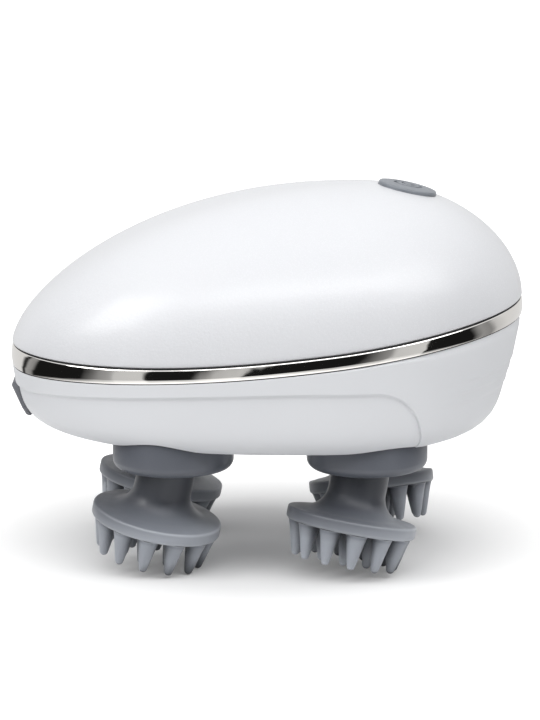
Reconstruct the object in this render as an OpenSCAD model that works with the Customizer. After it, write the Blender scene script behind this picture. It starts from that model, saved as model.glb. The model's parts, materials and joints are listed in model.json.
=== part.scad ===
// Electric scalp massager.
// An egg-shaped handheld housing with four motor-driven kneading heads under it.
// +X is the blunt nose, -X the narrow tail with the charging port, +Z is up, and
// the origin lies on the surface the heads stand on, midway along the housing.
// All sizes are in millimetres.

/* [Housing] */
// length of the housing from tail to nose
body_len = 122; // [118:1:128]
// width of the housing
body_w = 89; // [88:1:96]
// height of the crown above the standing surface
crown_z = 89.4; // [88:0.2:95]
// height of the flat belly above the standing surface
belly_z = 30; // [29.6:0.1:30.8]
// wall thickness of both shells
wall = 2.2; // [1.8:0.1:2.4]
// height of the trim band at mid length
band_h = 3.55; // [3:0.05:4.5]
// how far the side panel is set in below its crease
panel_in = 0.6; // [0.3:0.1:0.8]
// depth of each grip step at the nose
rib_in = 0.3; // [0.15:0.05:0.4]

/* [Kneading heads] */
// tilt of each head axis from upright
head_tilt = 12.5; // [9:0.5:14]
// diameter of the turret drums
drum_d = 28.5; // [26:0.5:29]
// how far the drums stand out below the belly
drum_drop = 5; // [4:0.25:6]
// diameter of the silicone discs
disc_d = 30.8; // [28:0.2:32]
// thickness of the silicone discs at the rim
disc_t = 3; // [2.5:0.1:3.5]
// length of the neck from the drum face to the disc
neck_len = 11.25; // [10.5:0.25:12.5]
// diameter of the neck
neck_d = 13.7; // [13:0.1:14.5]
// length of the massage tines
tine_len = 8.5; // [7:0.25:9.5]
// number of tines in the outer row
tine_outer = 12; // [10:1:13]
// number of tines in the inner row
tine_inner = 6; // [5:1:7]

/* [Power button] */
// diameter of the button cap
button_d = 14; // [12:0.5:16]
// place of the button between mid length and the nose, as a share
button_at = 0.5492; // [0.52:0.0004:0.56]
// travel of the button along its own axis
button_travel = 0.5; // [0.3:0.1:0.6]

/* [Drive] */
// face width of the spur gears
gear_w = 4; // [3:0.25:4.5]
// width across the round sides of the motor
motor_w = 20.4; // [18:0.2:20.4]
// height across the flat sides of the motor
motor_h = 15.4; // [14:0.2:15.4]
// length of the motor can
motor_len = 32; // [28:0.5:33]

/* [Charging port] */
// width of the port cover
plug_w = 13; // [11:0.5:14]
// height of the port cover
plug_h = 9.2; // [8.4:0.1:9.6]

/* [Battery] */
// length of the cell
cell_len = 50; // [44:1:52]
// width of the cell
cell_w = 34; // [30:1:35]
// thickness of the cell
cell_t = 8; // [6:0.5:8.5]

/* [Hidden] */
$fn = 48;
cols = 60;                     // columns round each shell surface
half = body_len / 2;
side = body_w / 2;

// plan outline: two half superellipses that meet at the widest station
wide_x = 14 * half / 61;
n_nose = 2.0;
n_tail = 2.48;

// parting line: a cubic through the rim heights along the length
part_lift = 24.1;              // rim above the belly at mid length
part_c1 = 6.3;
part_c2 = 3.4;
part_c3 = -0.9;
band_tail = 1.8;               // extra band height at the tail
band_nose = 0.6;               // extra band height at the nose

// dome above the rim
dome_x = 22.5 * half / 61;
p_nose = 1.9;
p_tail = 1.5;
p_side = 2.4;

// bowl below the band
bowl_x = 8 * half / 61;
q_nose = 8;
q_tail = 5.2;
q_side = 8.2;
draft_nose = 0.105;
draft_tail = 0.035;
draft_side = 0.045;

// crease of the side panel, as a share of the bowl depth
crease_low = 0.168;
crease_rise = 0.0000577;
crease_x = -22;
crease_turn_x = 24;            // where the crease starts to turn down
crease_turn_w = 14;            // length it needs to reach the belly

// mid-plane of the mechanism
mid_x = 0.75;

// spur train: worm-wheel shaft gear, idler and four output gears; its module grows with
// the width of the housing, and the heads stand on the output gears
gear_m = body_w / 89;
drive_z = 24;
out_z = 26;
gear_y = gear_m * drive_z / 2;
out_dist = gear_m * (drive_z + out_z) / 2;
head_dx = 0.912 * out_dist;
head_y = gear_y + sqrt(out_dist * out_dist - head_dx * head_dx);
heads = [[-head_dx, -head_y], [head_dx, -head_y], [-head_dx, head_y], [head_dx, head_y]];
lean = [160, 213, 180, -60];   // compass direction each head leans in at rest
spin = [15, -2.5, 0, 0];        // how far each head stands turned on its axle at rest
press_ang = 20;
flank_cut = 0.1;               // thinning of each tooth flank, for backlash

// heights of the mechanism
drum_r = drum_d / 2;
drum_gap = 0.45;
drum_z0 = belly_z - drum_drop;
drum_z1 = belly_z + 5.6;
well_z = drum_z1 + 0.7;        // underside of the well roof
deck_z = well_z + 2;           // top of the well roof, the gear deck sits here
deck_t = 1.5;
gear_z = deck_z + deck_t + 0.5;
plate_z = gear_z + gear_w + 1;
plate_t = 2;
plate_top = plate_z + plate_t;
motor_z = plate_top + motor_h / 2;
cheek_h = 4.2;
cheek_in = 0.15;               // cradle cheeks, out from the side of the motor
cheek_out = 4.95;

// shafts and fits
run_gap = 0.05;
shaft_r = 2.5;
drive_r = 2;
axle_r = 2;
bush_r = 4.5;
bush_top_r = 4;
seal_r = 5.5;

// worm and wheel: one start, 30 teeth
worm_m = 0.6 * gear_m;
wheel_n = 30;
wheel_r = worm_m * wheel_n / 2;
worm_r = gear_y - wheel_r;
worm_lead = PI * worm_m;
worm_len = 12;
motor_x = mid_x + wheel_r + 2;

// head, measured along its tilted axis from the point where it meets the drum axis
disc_r = disc_d / 2;
neck_r = neck_d / 2;
tip_r = 1;
tine_r = 2.5;
tine_ring = disc_r - 3.2;
tine_ring_in = tine_ring * 0.54;
tine_lean = 3;
tine_sink = 0.5;
tip_s = (tine_len - tip_r) * cos(tine_lean);
tip_ring = tine_ring - (tine_len - tip_r) * sin(tine_lean);
// pivot height chosen so that the lowest tine just reaches the surface
pivot_in = 7.4;                // pivot above the drum face, along the head axis
disc_s = pivot_in + neck_len;
under_s = disc_s + disc_t;
pivot_z = (under_s + tip_s) * cos(head_tilt) + tip_ring * sin(head_tilt) + tip_r;
recess_s = (pivot_z - drum_z0) / cos(head_tilt) - 1.4;
axle_top_s = recess_s - 3.8;
hub_top_s = recess_s + 0.3;
hub_r = 4.6;
hub_foot_r = 8.5;
axle_foot_r = 3.6;

// button frame: on the dome, square to its surface
button_x = button_at * half;
button_u = (button_x - dome_x) / (half - dome_x);
function dome_top(u) = rim_nose + pow(1 - u * u, 1 / p_nose) * (crown_z - rim_nose);
rim_nose = rim_z(half);
button_z = dome_top(button_u);
button_tilt = atan((dome_top(button_u - 0.05) - dome_top(button_u + 0.05)) / (0.1 * (half - dome_x)));
button_r = button_d / 2;
cap_edge = 0.5;
cap_crown = 0.4;
collar_w = -3.4;
flange_t = 1;
board_w = -9.6;
board_t = 1.6;
board_x0 = -22 * half / 61;
board_len = 36 * half / 61;
board_wd = 24;
post_pts = [for (x = [board_x0 + 3, board_x0 + board_len - 3], s = [1, -1]) [x, s * 9.4]];
plug_rows = [-4.2, 0, 4.2];
plug_high = 2.2;
plug_end = board_x0 + 0.5;

// port frame: on the tail, leaning under by the tail's slope
port_z = belly_z + 8.1;
port_x = -58.7 * half / 61;
port_tilt = -114;
plug_t = 1.8;
plug_up = 0.8;
hinge_r = plug_t / 2;
hinge_u = plug_h / 2 - hinge_r;
socket_w = 9;
socket_h = 3.3;
socket_len = 7.3;
bed_w = -3.6;                  // inner face of the bed round the port

// battery
tray_z = motor_z + motor_h / 2 + 1.3;
tray_t = 1.2;
cell_x = mid_x + 0.5;
post_r = 2.6;
post_x = head_dx - shaft_r - post_r;
post_y = motor_w / 2 + cheek_out + post_r + 0.4;

// screws; the housing screws stand between the drum wells and the side walls
head_r = 2.6;
boss_r = 3;
sleeve_r = head_r + 1.4;
well_r = drum_r + drum_gap;
well_wall = 1.5;
function beside(y, gap) =
    head_dx + sqrt(pow(well_r + well_wall + sleeve_r + gap, 2) - pow(head_y - y, 2));
case_pts = [for (p = [[0, head_y + 8.25], [-beside(15, 1), 15], [beside(16, 0.5), 16]], s = [1, -1])
    [mid_x + p[0], s * p[1]]];
boss_z = rim_z(mid_x) - 4;
pilot_r = 1.3;
plate_x = head_dx + 10.2;
plate_pts = [for (p = [[-plate_x, 5], [-plate_x, -5], [plate_x, 5], [plate_x, -5], [-15.5, 0]])
    [mid_x + p[0], p[1]]];
leg_x = wheel_r + 4.5;
leg_pts = [for (s = [-1, 1]) [mid_x + s * leg_x, gear_y + 2]];
bridge_z = motor_z + 4;
strap_len = 8;
strap_pts = [for (s = [-1, 1]) [motor_x + motor_len / 2, s * (motor_w / 2 + 3)]];

// ---------- housing surface ----------

function spow(v, e) = sign(v) * pow(abs(v), e);

// columns stand closer at the nose, the tail and the turn of the side panel
function col(j) = let (t = 360 * j / cols) t - 4.5 * sin(6 * t);

function plan(a, inset) =
    cos(a) >= 0
    ? [wide_x + (half - inset - wide_x) * pow(abs(cos(a)), 2 / n_nose),
       (side - inset) * spow(sin(a), 2 / n_nose)]
    : [wide_x - (half - inset + wide_x) * pow(abs(cos(a)), 2 / n_tail),
       (side - inset) * spow(sin(a), 2 / n_tail)];

function rim_z(x) =
    let (u = x / half)
    belly_z + part_lift + part_c1 * u + part_c2 * u * u + part_c3 * u * u * u;

function band(x) =
    let (u = x / half)
    band_h + (u < 0 ? band_tail * pow(-u, 3) : band_nose * pow(u, 3));

function blend(a, nose, tail, flank) =
    let (c = cos(a) * cos(a))
    (cos(a) >= 0 ? nose : tail) * c + flank * (1 - c);

function dome_point(a, f, inset) =
    let (o = plan(a, inset),
         z = rim_z(plan(a, 0)[0]),
         r = cos(f),
         h = pow(sin(f), 2 / blend(a, p_nose, p_tail, p_side)))
    [dome_x + r * (o[0] - dome_x), r * o[1], z + h * (crown_z - inset - z)];

function bowl_point(a, h, inset) =
    let (o = plan(a, inset),
         x0 = plan(a, 0)[0],
         z = rim_z(x0) - band(x0),
         q = blend(a, q_nose, q_tail, q_side),
         d = blend(a, draft_nose, draft_tail, draft_side),
         r = (1 - d * h) * pow(cos(asin(min(1, pow(h, q / 2)))), 2 / q))
    [bowl_x + r * (o[0] - bowl_x), r * o[1], z - h * (z - belly_z - inset)];

// share of the bowl depth at which the crease runs
function crease(x) =
    let (t = min(1, max(0, (x - crease_turn_x) / crease_turn_w)),
         low = crease_low + crease_rise * pow(min(x, crease_turn_x) - crease_x, 2))
    low + (0.97 - low) * (1 - sqrt(1 - t * t));

// grip steps fade in towards the nose
function rib_fade(x) = min(1, max(0, (x - 34) / 14));

above = [0, 0.12, 0.25, 0.36, 0.4, 0.46, 0.5, 0.56, 0.6, 0.74, 0.88, 1];
steps = [0, 0, 0, 0, 1, 1, 2, 2, 3, 3, 3, 3];
below = [0.05, 0.3, 0.52, 0.68, 0.8, 0.89, 0.95, 0.985];

function crease_rows(a) =
    let (x = plan(a, 0)[0], s = crease(x))
    concat([for (i = [0:len(above) - 1]) [s * above[i], rib_in * steps[i] * rib_fade(x)]],
           [for (b = below) [s + (1 - s) * b, panel_in + rib_in * 3 * rib_fade(x)]]);

// steps and panel fade out again before the belly turns flat
function calm(h) = h > 0.9 ? max(0, (1 - h) / 0.1) : 1;

function bowl_row(k) =
    [for (j = [0:cols - 1])
        let (a = col(j), row = crease_rows(a)[k],
             p = bowl_point(a, row[0], 0), s = 1 - row[1] * calm(row[0]) / half)
        [bowl_x + (p[0] - bowl_x) * s, p[1] * (1 - row[1] * calm(row[0]) / side), p[2]]];

function flat_row(share, inset) =
    [for (j = [0:cols - 1])
        let (o = plan(col(j), inset))
        [bowl_x + share * (o[0] - bowl_x), share * o[1], belly_z + inset]];

dome_out = [for (f = [0, 3, 7, 12, 18, 25, 33, 41, 50, 59, 68, 77, 84])
    [for (j = [0:cols - 1]) dome_point(col(j), f, 0)]];
dome_in = [for (f = [0, 12, 25, 38, 52, 66, 80])
    [for (j = [0:cols - 1]) dome_point(col(j), f, wall)]];
bowl_out = concat([for (k = [0:len(above) + len(below) - 1]) bowl_row(k)], [flat_row(0.42, 0)]);
bowl_in = concat([for (h = [0, 0.35, 0.6, 0.78, 0.9, 0.97])
    [for (j = [0:cols - 1]) bowl_point(col(j), h, wall)]], [flat_row(0.42, wall)]);

function turn(list, flip) = flip ? [for (f = list) [f[0], f[2], f[1]]] : list;

function side_faces(n0, n1) =
    [for (j = [0:cols - 1], t = [0, 1])
        let (k = (j + 1) % cols)
        t == 0 ? [n0 + j, n1 + j, n1 + k] : [n0 + j, n1 + k, n0 + k]];

function fan(n0, tip) = [for (j = [0:cols - 1]) [n0 + j, tip, n0 + (j + 1) % cols]];

// a hollow cap: outer rings to a tip, inner rings to a tip, joined along the rim
module cap_shell(outer, tip_out, inner, tip_in, flip) {
    m = len(outer);
    n = len(inner);
    pts = concat([for (r = outer, p = r) p], [for (r = inner, p = r) p], [tip_out, tip_in]);
    in0 = m * cols;
    faces = concat(
        [for (k = [0:m - 2], f = side_faces(k * cols, (k + 1) * cols)) f],
        fan((m - 1) * cols, (m + n) * cols),
        turn([for (k = [0:n - 2], f = side_faces(in0 + k * cols, in0 + (k + 1) * cols)) f], true),
        turn(fan(in0 + (n - 1) * cols, (m + n) * cols + 1), true),
        side_faces(in0, 0));
    polyhedron(points = pts, faces = turn(faces, flip), convexity = 8);
}

// the same cap filled in, to trim bosses to the skin
module cap_solid(outer, tip_out, mouth, flip) {
    m = len(outer);
    pts = concat([for (r = outer, p = r) p], [tip_out, mouth]);
    faces = concat(
        [for (k = [0:m - 2], f = side_faces(k * cols, (k + 1) * cols)) f],
        fan((m - 1) * cols, m * cols),
        turn(fan(0, m * cols + 1), true));
    polyhedron(points = pts, faces = turn(faces, flip), convexity = 4);
}

// a closed band through a loop of rings
module loop_band(rings) {
    m = len(rings);
    pts = [for (r = rings, p = r) p];
    faces = [for (k = [0:m - 1], f = side_faces(k * cols, ((k + 1) % m) * cols)) f];
    polyhedron(points = pts, faces = faces, convexity = 6);
}

// play left where the ring and its cord seat on the shells
seat = 0.04;

// one ring of points on the rim: inset from the skin, share 0 = band foot, 1 = band top
function rim_ring(inset, share, drop) =
    [for (j = [0:cols - 1])
        let (a = col(j), o = plan(a, inset), x = plan(a, 0)[0])
        [o[0], o[1], rim_z(x) - band(x) * (1 - share) - drop]];

dome_tip = [dome_x, 0, crown_z];
bowl_tip = [bowl_x, 0, belly_z];

// ---------- frames ----------

module at_button() {
    translate([button_x, 0, button_z]) rotate([0, button_tilt, 0]) children();
}

module at_port() {
    translate([port_x, 0, port_z]) rotate([0, port_tilt, 0]) children();
}

module at_heads() {
    for (h = heads) translate([mid_x + h[0], h[1], 0]) children();
}

module at_head(i) {
    translate([mid_x + heads[i][0], heads[i][1], 0]) children();
}

// frame of a tilted head: origin on the drum axis, +Z down the head axis
module at_tilt(i) {
    at_head(i) translate([0, 0, pivot_z])
        rotate([0, 0, lean[i]]) rotate([0, 180 - head_tilt, 0]) children();
}

module tube(r_out, r_in, h) {
    difference() {
        cylinder(r = r_out, h = h);
        translate([0, 0, -1]) cylinder(r = r_in, h = h + 2);
    }
}

module slab(x, y, h, r) {
    linear_extrude(height = h) {
        square([x - 2 * r, y], center = true);
        square([x, y - 2 * r], center = true);
        for (i = [-1, 1], j = [-1, 1])
            translate([i * (x / 2 - r), j * (y / 2 - r)]) circle(r = r);
    }
}

// countersunk screw, head face at z = 0, shank down
module flat_screw(len, r) {
    translate([0, 0, -len]) cylinder(r = r, h = len);
    translate([0, 0, -1.3]) cylinder(r1 = r, r2 = 2 * r, h = 1.3);
}

// cheese-head screw, head seat at z = 0
module pan_screw(len, r, head, high) {
    difference() {
        union() {
            translate([0, 0, -len]) cylinder(r = r, h = len);
            cylinder(r = head, h = high);
        }
        for (a = [0, 90]) rotate([0, 0, a])
            translate([-head * 0.6, -0.35, high - 0.7]) cube([head * 1.2, 0.7, 1]);
    }
}

// ---------- housing ----------

module upper_shell() {
    color([0.95, 0.96, 0.97])
    difference() {
        union() {
            cap_shell(dome_out, dome_tip, dome_in, [dome_x, 0, crown_z - wall], false);
            intersection() {
                cap_solid(dome_out, dome_tip, [dome_x, 0, rim_z(dome_x)], false);
                union() {
                    at_button() translate([0, 0, collar_w]) cylinder(r = button_r + 2.4, h = 4);
                    at_button() for (p = post_pts)
                        translate([p[0], p[1], board_w]) cylinder(r = 2.4, h = 12);
                    for (p = case_pts)
                        translate([p[0], p[1], boss_z]) cylinder(r = boss_r, h = crown_z);
                }
            }
        }
        at_button() translate([0, 0, -9]) cylinder(r = button_r + 0.1, h = 14);
        at_button() translate([0, 0, collar_w - 6]) cylinder(r = button_r + 1.4, h = 6);
        at_button() for (p = post_pts)
            translate([p[0], p[1], board_w - 1]) cylinder(r = 0.9, h = 4.5);
        for (p = case_pts) translate([p[0], p[1], boss_z - 1]) cylinder(r = pilot_r, h = 9);
    }
}

module lower_shell() {
    color([0.85, 0.86, 0.87])
    difference() {
        union() {
            cap_shell(bowl_out, bowl_tip, bowl_in, [bowl_x, 0, belly_z + wall], true);
            loop_band([rim_ring(wall, 0, 0.6), rim_ring(1.3, 0, 0.6), rim_ring(1.3, 1, 0.8),
                       rim_ring(wall, 1, 0.8)]);
            intersection() {
                cap_solid(bowl_out, bowl_tip, [bowl_x, 0, rim_z(bowl_x)], true);
                union() {
                    at_heads() translate([0, 0, belly_z - 1])
                        cylinder(r = well_r + well_wall, h = deck_z - belly_z + 1);
                    for (p = plate_pts) translate([p[0], p[1], belly_z])
                        cylinder(r = boss_r, h = deck_z - belly_z);
                    for (p = case_pts) translate([p[0], p[1], belly_z])
                        cylinder(r = sleeve_r, h = 6.5);
                    at_port() for (s = [-1, 1]) translate([-socket_h / 2 - 1.2, s * 6, -9.5])
                        rotate([0, -90, 0]) cylinder(r = 2, h = 12);
                    at_port() translate([-4.8, -plug_w / 2 - 1.5, bed_w])
                        cube([9.6, plug_w + 3, 4]);
                }
            }
            for (p = case_pts) translate([p[0], p[1], belly_z + 4])
                cylinder(r = boss_r, h = boss_z - belly_z - 4);
        }
        at_heads() translate([0, 0, belly_z - 5]) cylinder(r = well_r, h = well_z - belly_z + 5);
        at_heads() translate([0, 0, well_z - 1]) cylinder(r = bush_r, h = 4);
        for (p = plate_pts) translate([p[0], p[1], deck_z - 4.5]) cylinder(r = pilot_r, h = 6);
        for (p = case_pts) {
            translate([p[0], p[1], belly_z - 2]) cylinder(r = head_r + 0.2, h = 7);
            translate([p[0], p[1], belly_z]) cylinder(r = pilot_r + 0.3, h = 30);
        }
        at_port() translate([0, 0, plug_up - plug_t - 0.1]) slab_pocket();
        at_port() translate([-2, -5.2, -9]) cube([4, 10.4, 9]);
    }
}

// recess for the port cover
module slab_pocket() {
    translate([-plug_h / 2 - 0.15, -plug_w / 2 - 0.15, 0])
        cube([plug_h + 0.3, plug_w + 0.3, 4]);
}

module trim_ring() {
    color([0.78, 0.76, 0.73])
    loop_band([rim_ring(0.1, 0, -seat), rim_ring(-0.2, 0.3, 0), rim_ring(-0.2, 0.7, 0),
               rim_ring(0.1, 1, seat), rim_ring(1.3, 1, seat), rim_ring(1.3, 0, -seat)]);
}

module shell_gasket() {
    color([0.15, 0.15, 0.16])
    loop_band([rim_ring(1.3, 1, 0.8 - seat), rim_ring(1.3, 1, seat), rim_ring(wall, 1, seat),
               rim_ring(wall, 1, 0.8 - seat)]);
}

module case_screws() {
    color([0.6, 0.6, 0.62])
    for (p = case_pts) translate([p[0], p[1], belly_z + 5]) rotate([180, 0, 0])
        pan_screw(boss_z - belly_z - 5 + 8, pilot_r, head_r, 2);
}

// ---------- button and main board ----------

module power_button() {
    color([0.59, 0.61, 0.64])
    at_button() difference() {
        union() {
            rotate_extrude() polygon(concat([[0, collar_w - flange_t], [button_r + 1.2, collar_w - flange_t],
                [button_r + 1.2, collar_w - 0.05], [button_r, collar_w - 0.05]],
                [for (k = [0:6]) let (t = k / 6)
                    [button_r - 0.35 * (1 - cos(90 * t)), cap_edge - 0.35 * (1 - sin(90 * t))]],
                [for (k = [1:8]) let (r = (button_r - 0.35) * (1 - k / 8))
                    [r, cap_edge + cap_crown * (1 - pow(r / button_r, 2))]]));
            translate([0, 0, collar_w - flange_t - 1.6]) cylinder(r = 1.5, h = 1.7);
        }
        translate([0, 0, cap_edge + cap_crown - 0.32]) tube(3.35, 2.9, 1);
        translate([0, 0, cap_edge + cap_crown - 0.2]) power_mark();
    }
}

// the usual on/off sign: an open circle with a bar, sunk into the cap
module power_mark() {
    difference() {
        tube(1.75, 1.35, 1);
        translate([0.4, -0.7, -0.5]) cube([2, 1.4, 2]);
    }
    translate([0.5, -0.2, 0]) cube([1.6, 0.4, 1]);
}

stem_w = collar_w - flange_t - 1.6;
stem_h = 1.4;

module switch_stem() {
    color([0.2, 0.2, 0.22])
    at_button() translate([0, 0, stem_w - stem_h]) cylinder(r = 1.7, h = stem_h);
}

module tact_switch() {
    color([0.12, 0.12, 0.13])
    at_button() difference() {
        translate([-3, -3, board_w]) cube([6, 6, stem_w - 0.9 - board_w]);
        translate([0, 0, stem_w - stem_h - button_travel - 0.3])
            cylinder(r = 1.7 + run_gap, h = 4);
    }
}

module main_board() {
    color([0.1, 0.35, 0.2])
    at_button() difference() {
        translate([board_x0, -board_wd / 2, board_w - board_t]) cube([board_len, board_wd, board_t]);
        for (p = post_pts) translate([p[0], p[1], board_w - 3]) cylinder(r = 1.1, h = 5);
    }
}

module board_parts() {
    color([0.2, 0.2, 0.2])
    at_button() {
        translate([board_x0 + 8, -3, board_w]) cube([6, 6, 1.4]);
        translate([board_x0 + 8, 5.5, board_w]) cube([4, 3, 1.1]);
        translate([board_x0 + 27, 4.5, board_w]) cube([3, 4, 1]);
        translate([board_x0 + 13.5, -8, board_w]) cylinder(r = 2, h = 3);
        translate([board_x0 + 28.5, -7, board_w]) cylinder(r = 2, h = 2.6);
        for (y = plug_rows) translate([plug_end, y - 1.9, board_w]) cube([3.4, 3.8, plug_high]);
    }
}

module board_screws() {
    color([0.65, 0.65, 0.67])
    at_button() for (p = post_pts) translate([p[0], p[1], board_w - board_t]) rotate([180, 0, 0])
        pan_screw(board_t + 2.8, 0.9, 1.8, 1.1);
}

// ---------- gear train ----------

function inv_deg(r, rb) = let (c = rb / r, t = sqrt(1 / (c * c) - 1)) t * 180 / PI - acos(c);

// half the tooth angle at radius r
function tooth_half(r, n, m) =
    let (rp = n * m / 2, rb = rp * cos(press_ang))
    90 / n - flank_cut / rp * 180 / PI + inv_deg(rp, rb) - inv_deg(max(r, rb), rb);

function gear_outline(n, m, spin) =
    let (rp = n * m / 2, rb = rp * cos(press_ang), ra = rp + 0.95 * m, rr = rp - 1.2 * m,
         rad = [for (k = [0:4]) max(rb, rr + 0.3 * m) + (ra - max(rb, rr + 0.3 * m)) * k / 4])
    [for (i = [0:n - 1], k = [0:11])
        let (c = spin + 360 * i / n,
             r = k == 0 || k == 11 ? rr : k < 6 ? rad[k - 1] : rad[10 - k],
             h = tooth_half(r, n, m) + (k == 0 || k == 11 ? 0.6 : 0),
             a = c + (k < 6 ? -h : h))
        [r * cos(a), r * sin(a)]];

module spur(n, spin, bore) {
    linear_extrude(height = gear_w) difference() {
        polygon(gear_outline(n, gear_m, spin));
        circle(r = bore);
    }
}

// angle that puts a 26-tooth output gear in mesh with a gear whose own tooth sits at "spin",
// the output lying in direction "dir" from it
function mesh_spin(spin, dir) =
    dir + 180 - (spin - dir) * drive_z / out_z - 180 / out_z;

dirs = [for (h = heads) atan2(h[1] - (h[1] > 0 ? gear_y : -gear_y), h[0])];
drive_spin = 0;
idler_spin = 180 / drive_z;

module gear_rect(grow) {
    r = out_z * gear_m / 2 + 0.5 + grow;
    translate([mid_x, 0]) {
        square([2 * head_dx, 2 * (head_y + r)], center = true);
        square([2 * (head_dx + r), 2 * head_y], center = true);
        for (h = heads) translate(h) circle(r = r);
    }
}

module deck_plan() {
    difference() {
        gear_rect(0);
        for (p = [case_pts[0], case_pts[1]]) translate([p[0], p[1]]) circle(r = boss_r + 0.5);
        for (s = [-1, 1]) translate([mid_x, s * (head_y + 11.5)]) square([2 * boss_r + 1, 8], center = true);
    }
}

module gear_deck() {
    color([0.3, 0.31, 0.33])
    difference() {
        union() {
            translate([0, 0, deck_z]) linear_extrude(height = deck_t) deck_plan();
            for (p = plate_pts) translate([p[0], p[1], deck_z]) cylinder(r = boss_r, h = plate_z - deck_z);
        }
        at_heads() translate([0, 0, deck_z - 1]) cylinder(r = seal_r, h = 4);
        for (p = plate_pts) translate([p[0], p[1], deck_z - 1]) cylinder(r = pilot_r, h = 20);
        for (s = [-1, 1]) translate([mid_x, s * gear_y, deck_z - 1])
            cylinder(r = drive_r + run_gap, h = 4);
    }
}

module gear_plate() {
    color([0.26, 0.27, 0.29])
    difference() {
        union() {
            translate([0, 0, plate_z]) linear_extrude(height = plate_t) deck_plan();
            // motor cradle cheeks
            for (s = [-1, 1]) translate([motor_x + 6, s * (motor_w / 2 + (cheek_in + cheek_out) / 2)
                                         - (cheek_out - cheek_in) / 2, plate_top - 0.5])
                cube([motor_len - 13, cheek_out - cheek_in, cheek_h + 0.5]);
            // block that carries the free end of the worm
            translate([mid_x - 12, -3.5, plate_top - 0.5]) cube([3, 7, motor_h / 2 + 4]);
            for (p = leg_pts) translate([p[0], p[1], plate_top - 0.5])
                cylinder(r = 2.5, h = bridge_z - plate_top + 0.5);
        }
        at_heads() translate([0, 0, plate_z - 1]) cylinder(r = bush_top_r, h = 4);
        for (s = [-1, 1]) translate([mid_x, s * gear_y, plate_z - 1])
            cylinder(r = drive_r + run_gap, h = 5);
        for (p = plate_pts) translate([p[0], p[1], plate_top]) flat_screw(8, pilot_r);
        translate([mid_x - 14, 0, motor_z]) rotate([0, 90, 0]) cylinder(r = 1 + run_gap, h = 8);
        for (p = leg_pts) translate([p[0], p[1], bridge_z - 5]) cylinder(r = 0.9, h = 8);
        for (p = strap_pts) translate([p[0], p[1], plate_top + 0.5]) cylinder(r = 0.9, h = 8);
    }
}

module plate_screws() {
    color([0.65, 0.65, 0.67])
    for (p = plate_pts) translate([p[0], p[1], plate_top]) flat_screw(plate_top - deck_z + 4, pilot_r);
}

module worm_bridge() {
    color([0.3, 0.31, 0.33])
    difference() {
        union() {
            for (p = leg_pts) translate([p[0], p[1], bridge_z]) cylinder(r = 2.5, h = 1.6);
            translate([mid_x, gear_y, bridge_z]) cylinder(r = 4, h = 1.6);
            translate([mid_x - leg_x, gear_y - 0.5, bridge_z]) cube([2 * leg_x, 5, 1.6]);
        }
        translate([mid_x, gear_y, bridge_z - 1]) cylinder(r = drive_r + run_gap, h = 4);
        for (p = leg_pts) translate([p[0], p[1], bridge_z - 1]) cylinder(r = 1, h = 4);
    }
}

module shaft_bushes() {
    color([0.72, 0.55, 0.3])
    at_heads() {
        translate([0, 0, well_z]) tube(bush_r, shaft_r + run_gap, deck_z - well_z);
        translate([0, 0, plate_z]) tube(bush_top_r, shaft_r + run_gap, plate_t);
    }
}

module shaft_seals() {
    color([0.1, 0.1, 0.1])
    at_heads() translate([0, 0, deck_z]) tube(seal_r, shaft_r + run_gap, deck_t);
}

module drive_shaft() {
    color([0.75, 0.76, 0.78])
    translate([mid_x, gear_y, deck_z + 0.2]) cylinder(r = drive_r, h = bridge_z + 1.6 - deck_z - 0.2);
}

module drive_gear() {
    color([0.92, 0.9, 0.84])
    translate([mid_x, gear_y, gear_z]) spur(drive_z, drive_spin, drive_r);
}

module idler_shaft() {
    color([0.75, 0.76, 0.78])
    translate([mid_x, -gear_y, deck_z + 0.2]) cylinder(r = drive_r, h = plate_top - deck_z - 0.2);
}

module idler_gear() {
    color([0.92, 0.9, 0.84])
    translate([mid_x, -gear_y, gear_z]) spur(drive_z, idler_spin, drive_r);
}

module worm_wheel() {
    color([0.9, 0.88, 0.8])
    translate([mid_x, gear_y, motor_z - 1.75]) difference() {
        union() {
            linear_extrude(height = 3.5) polygon([for (i = [0:wheel_n - 1], k = [0:3])
                let (c = 360 * i / wheel_n,
                     r = k == 0 || k == 3 ? wheel_r - 0.78 : wheel_r + 0.45,
                     w = k == 0 || k == 3 ? 0.47 : 0.2,
                     a = c + (k < 2 ? -1 : 1) * w / r * 180 / PI)
                [r * cos(a), r * sin(a)]]);
            translate([0, 0, plate_top + 0.3 - motor_z + 1.75]) cylinder(r = 3.6, h = motor_z - 1.75 - plate_top);
        }
        translate([0, 0, -10]) cylinder(r = drive_r, h = 20);
    }
}

module output_gear(i) {
    color([0.92, 0.9, 0.84])
    at_head(i) translate([0, 0, gear_z])
        spur(out_z, mesh_spin(heads[i][1] > 0 ? drive_spin : idler_spin, dirs[i]), shaft_r);
}

module output_shaft(i) {
    color([0.75, 0.76, 0.78])
    at_head(i) translate([0, 0, shaft_foot_z]) cylinder(r = shaft_r, h = plate_top + 0.8 - shaft_foot_z);
}

shaft_foot_z = drum_z1 - 4.6;

// ---------- motor and worm ----------

module can_plan(grow) {
    intersection() {
        circle(r = motor_w / 2 + grow);
        square([motor_h + 2 * grow, motor_w + 2 * grow + 1], center = true);
    }
}

module motor_can() {
    color([0.7, 0.71, 0.73])
    difference() {
        translate([motor_x, 0, motor_z]) rotate([0, 90, 0]) {
            linear_extrude(height = motor_len) can_plan(0);
            translate([0, 0, -1.6]) cylinder(r = 3, h = 2);
        }
        translate([motor_x - 4, 0, motor_z]) rotate([0, 90, 0]) cylinder(r = 1 + run_gap, h = motor_len);
    }
}

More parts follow.
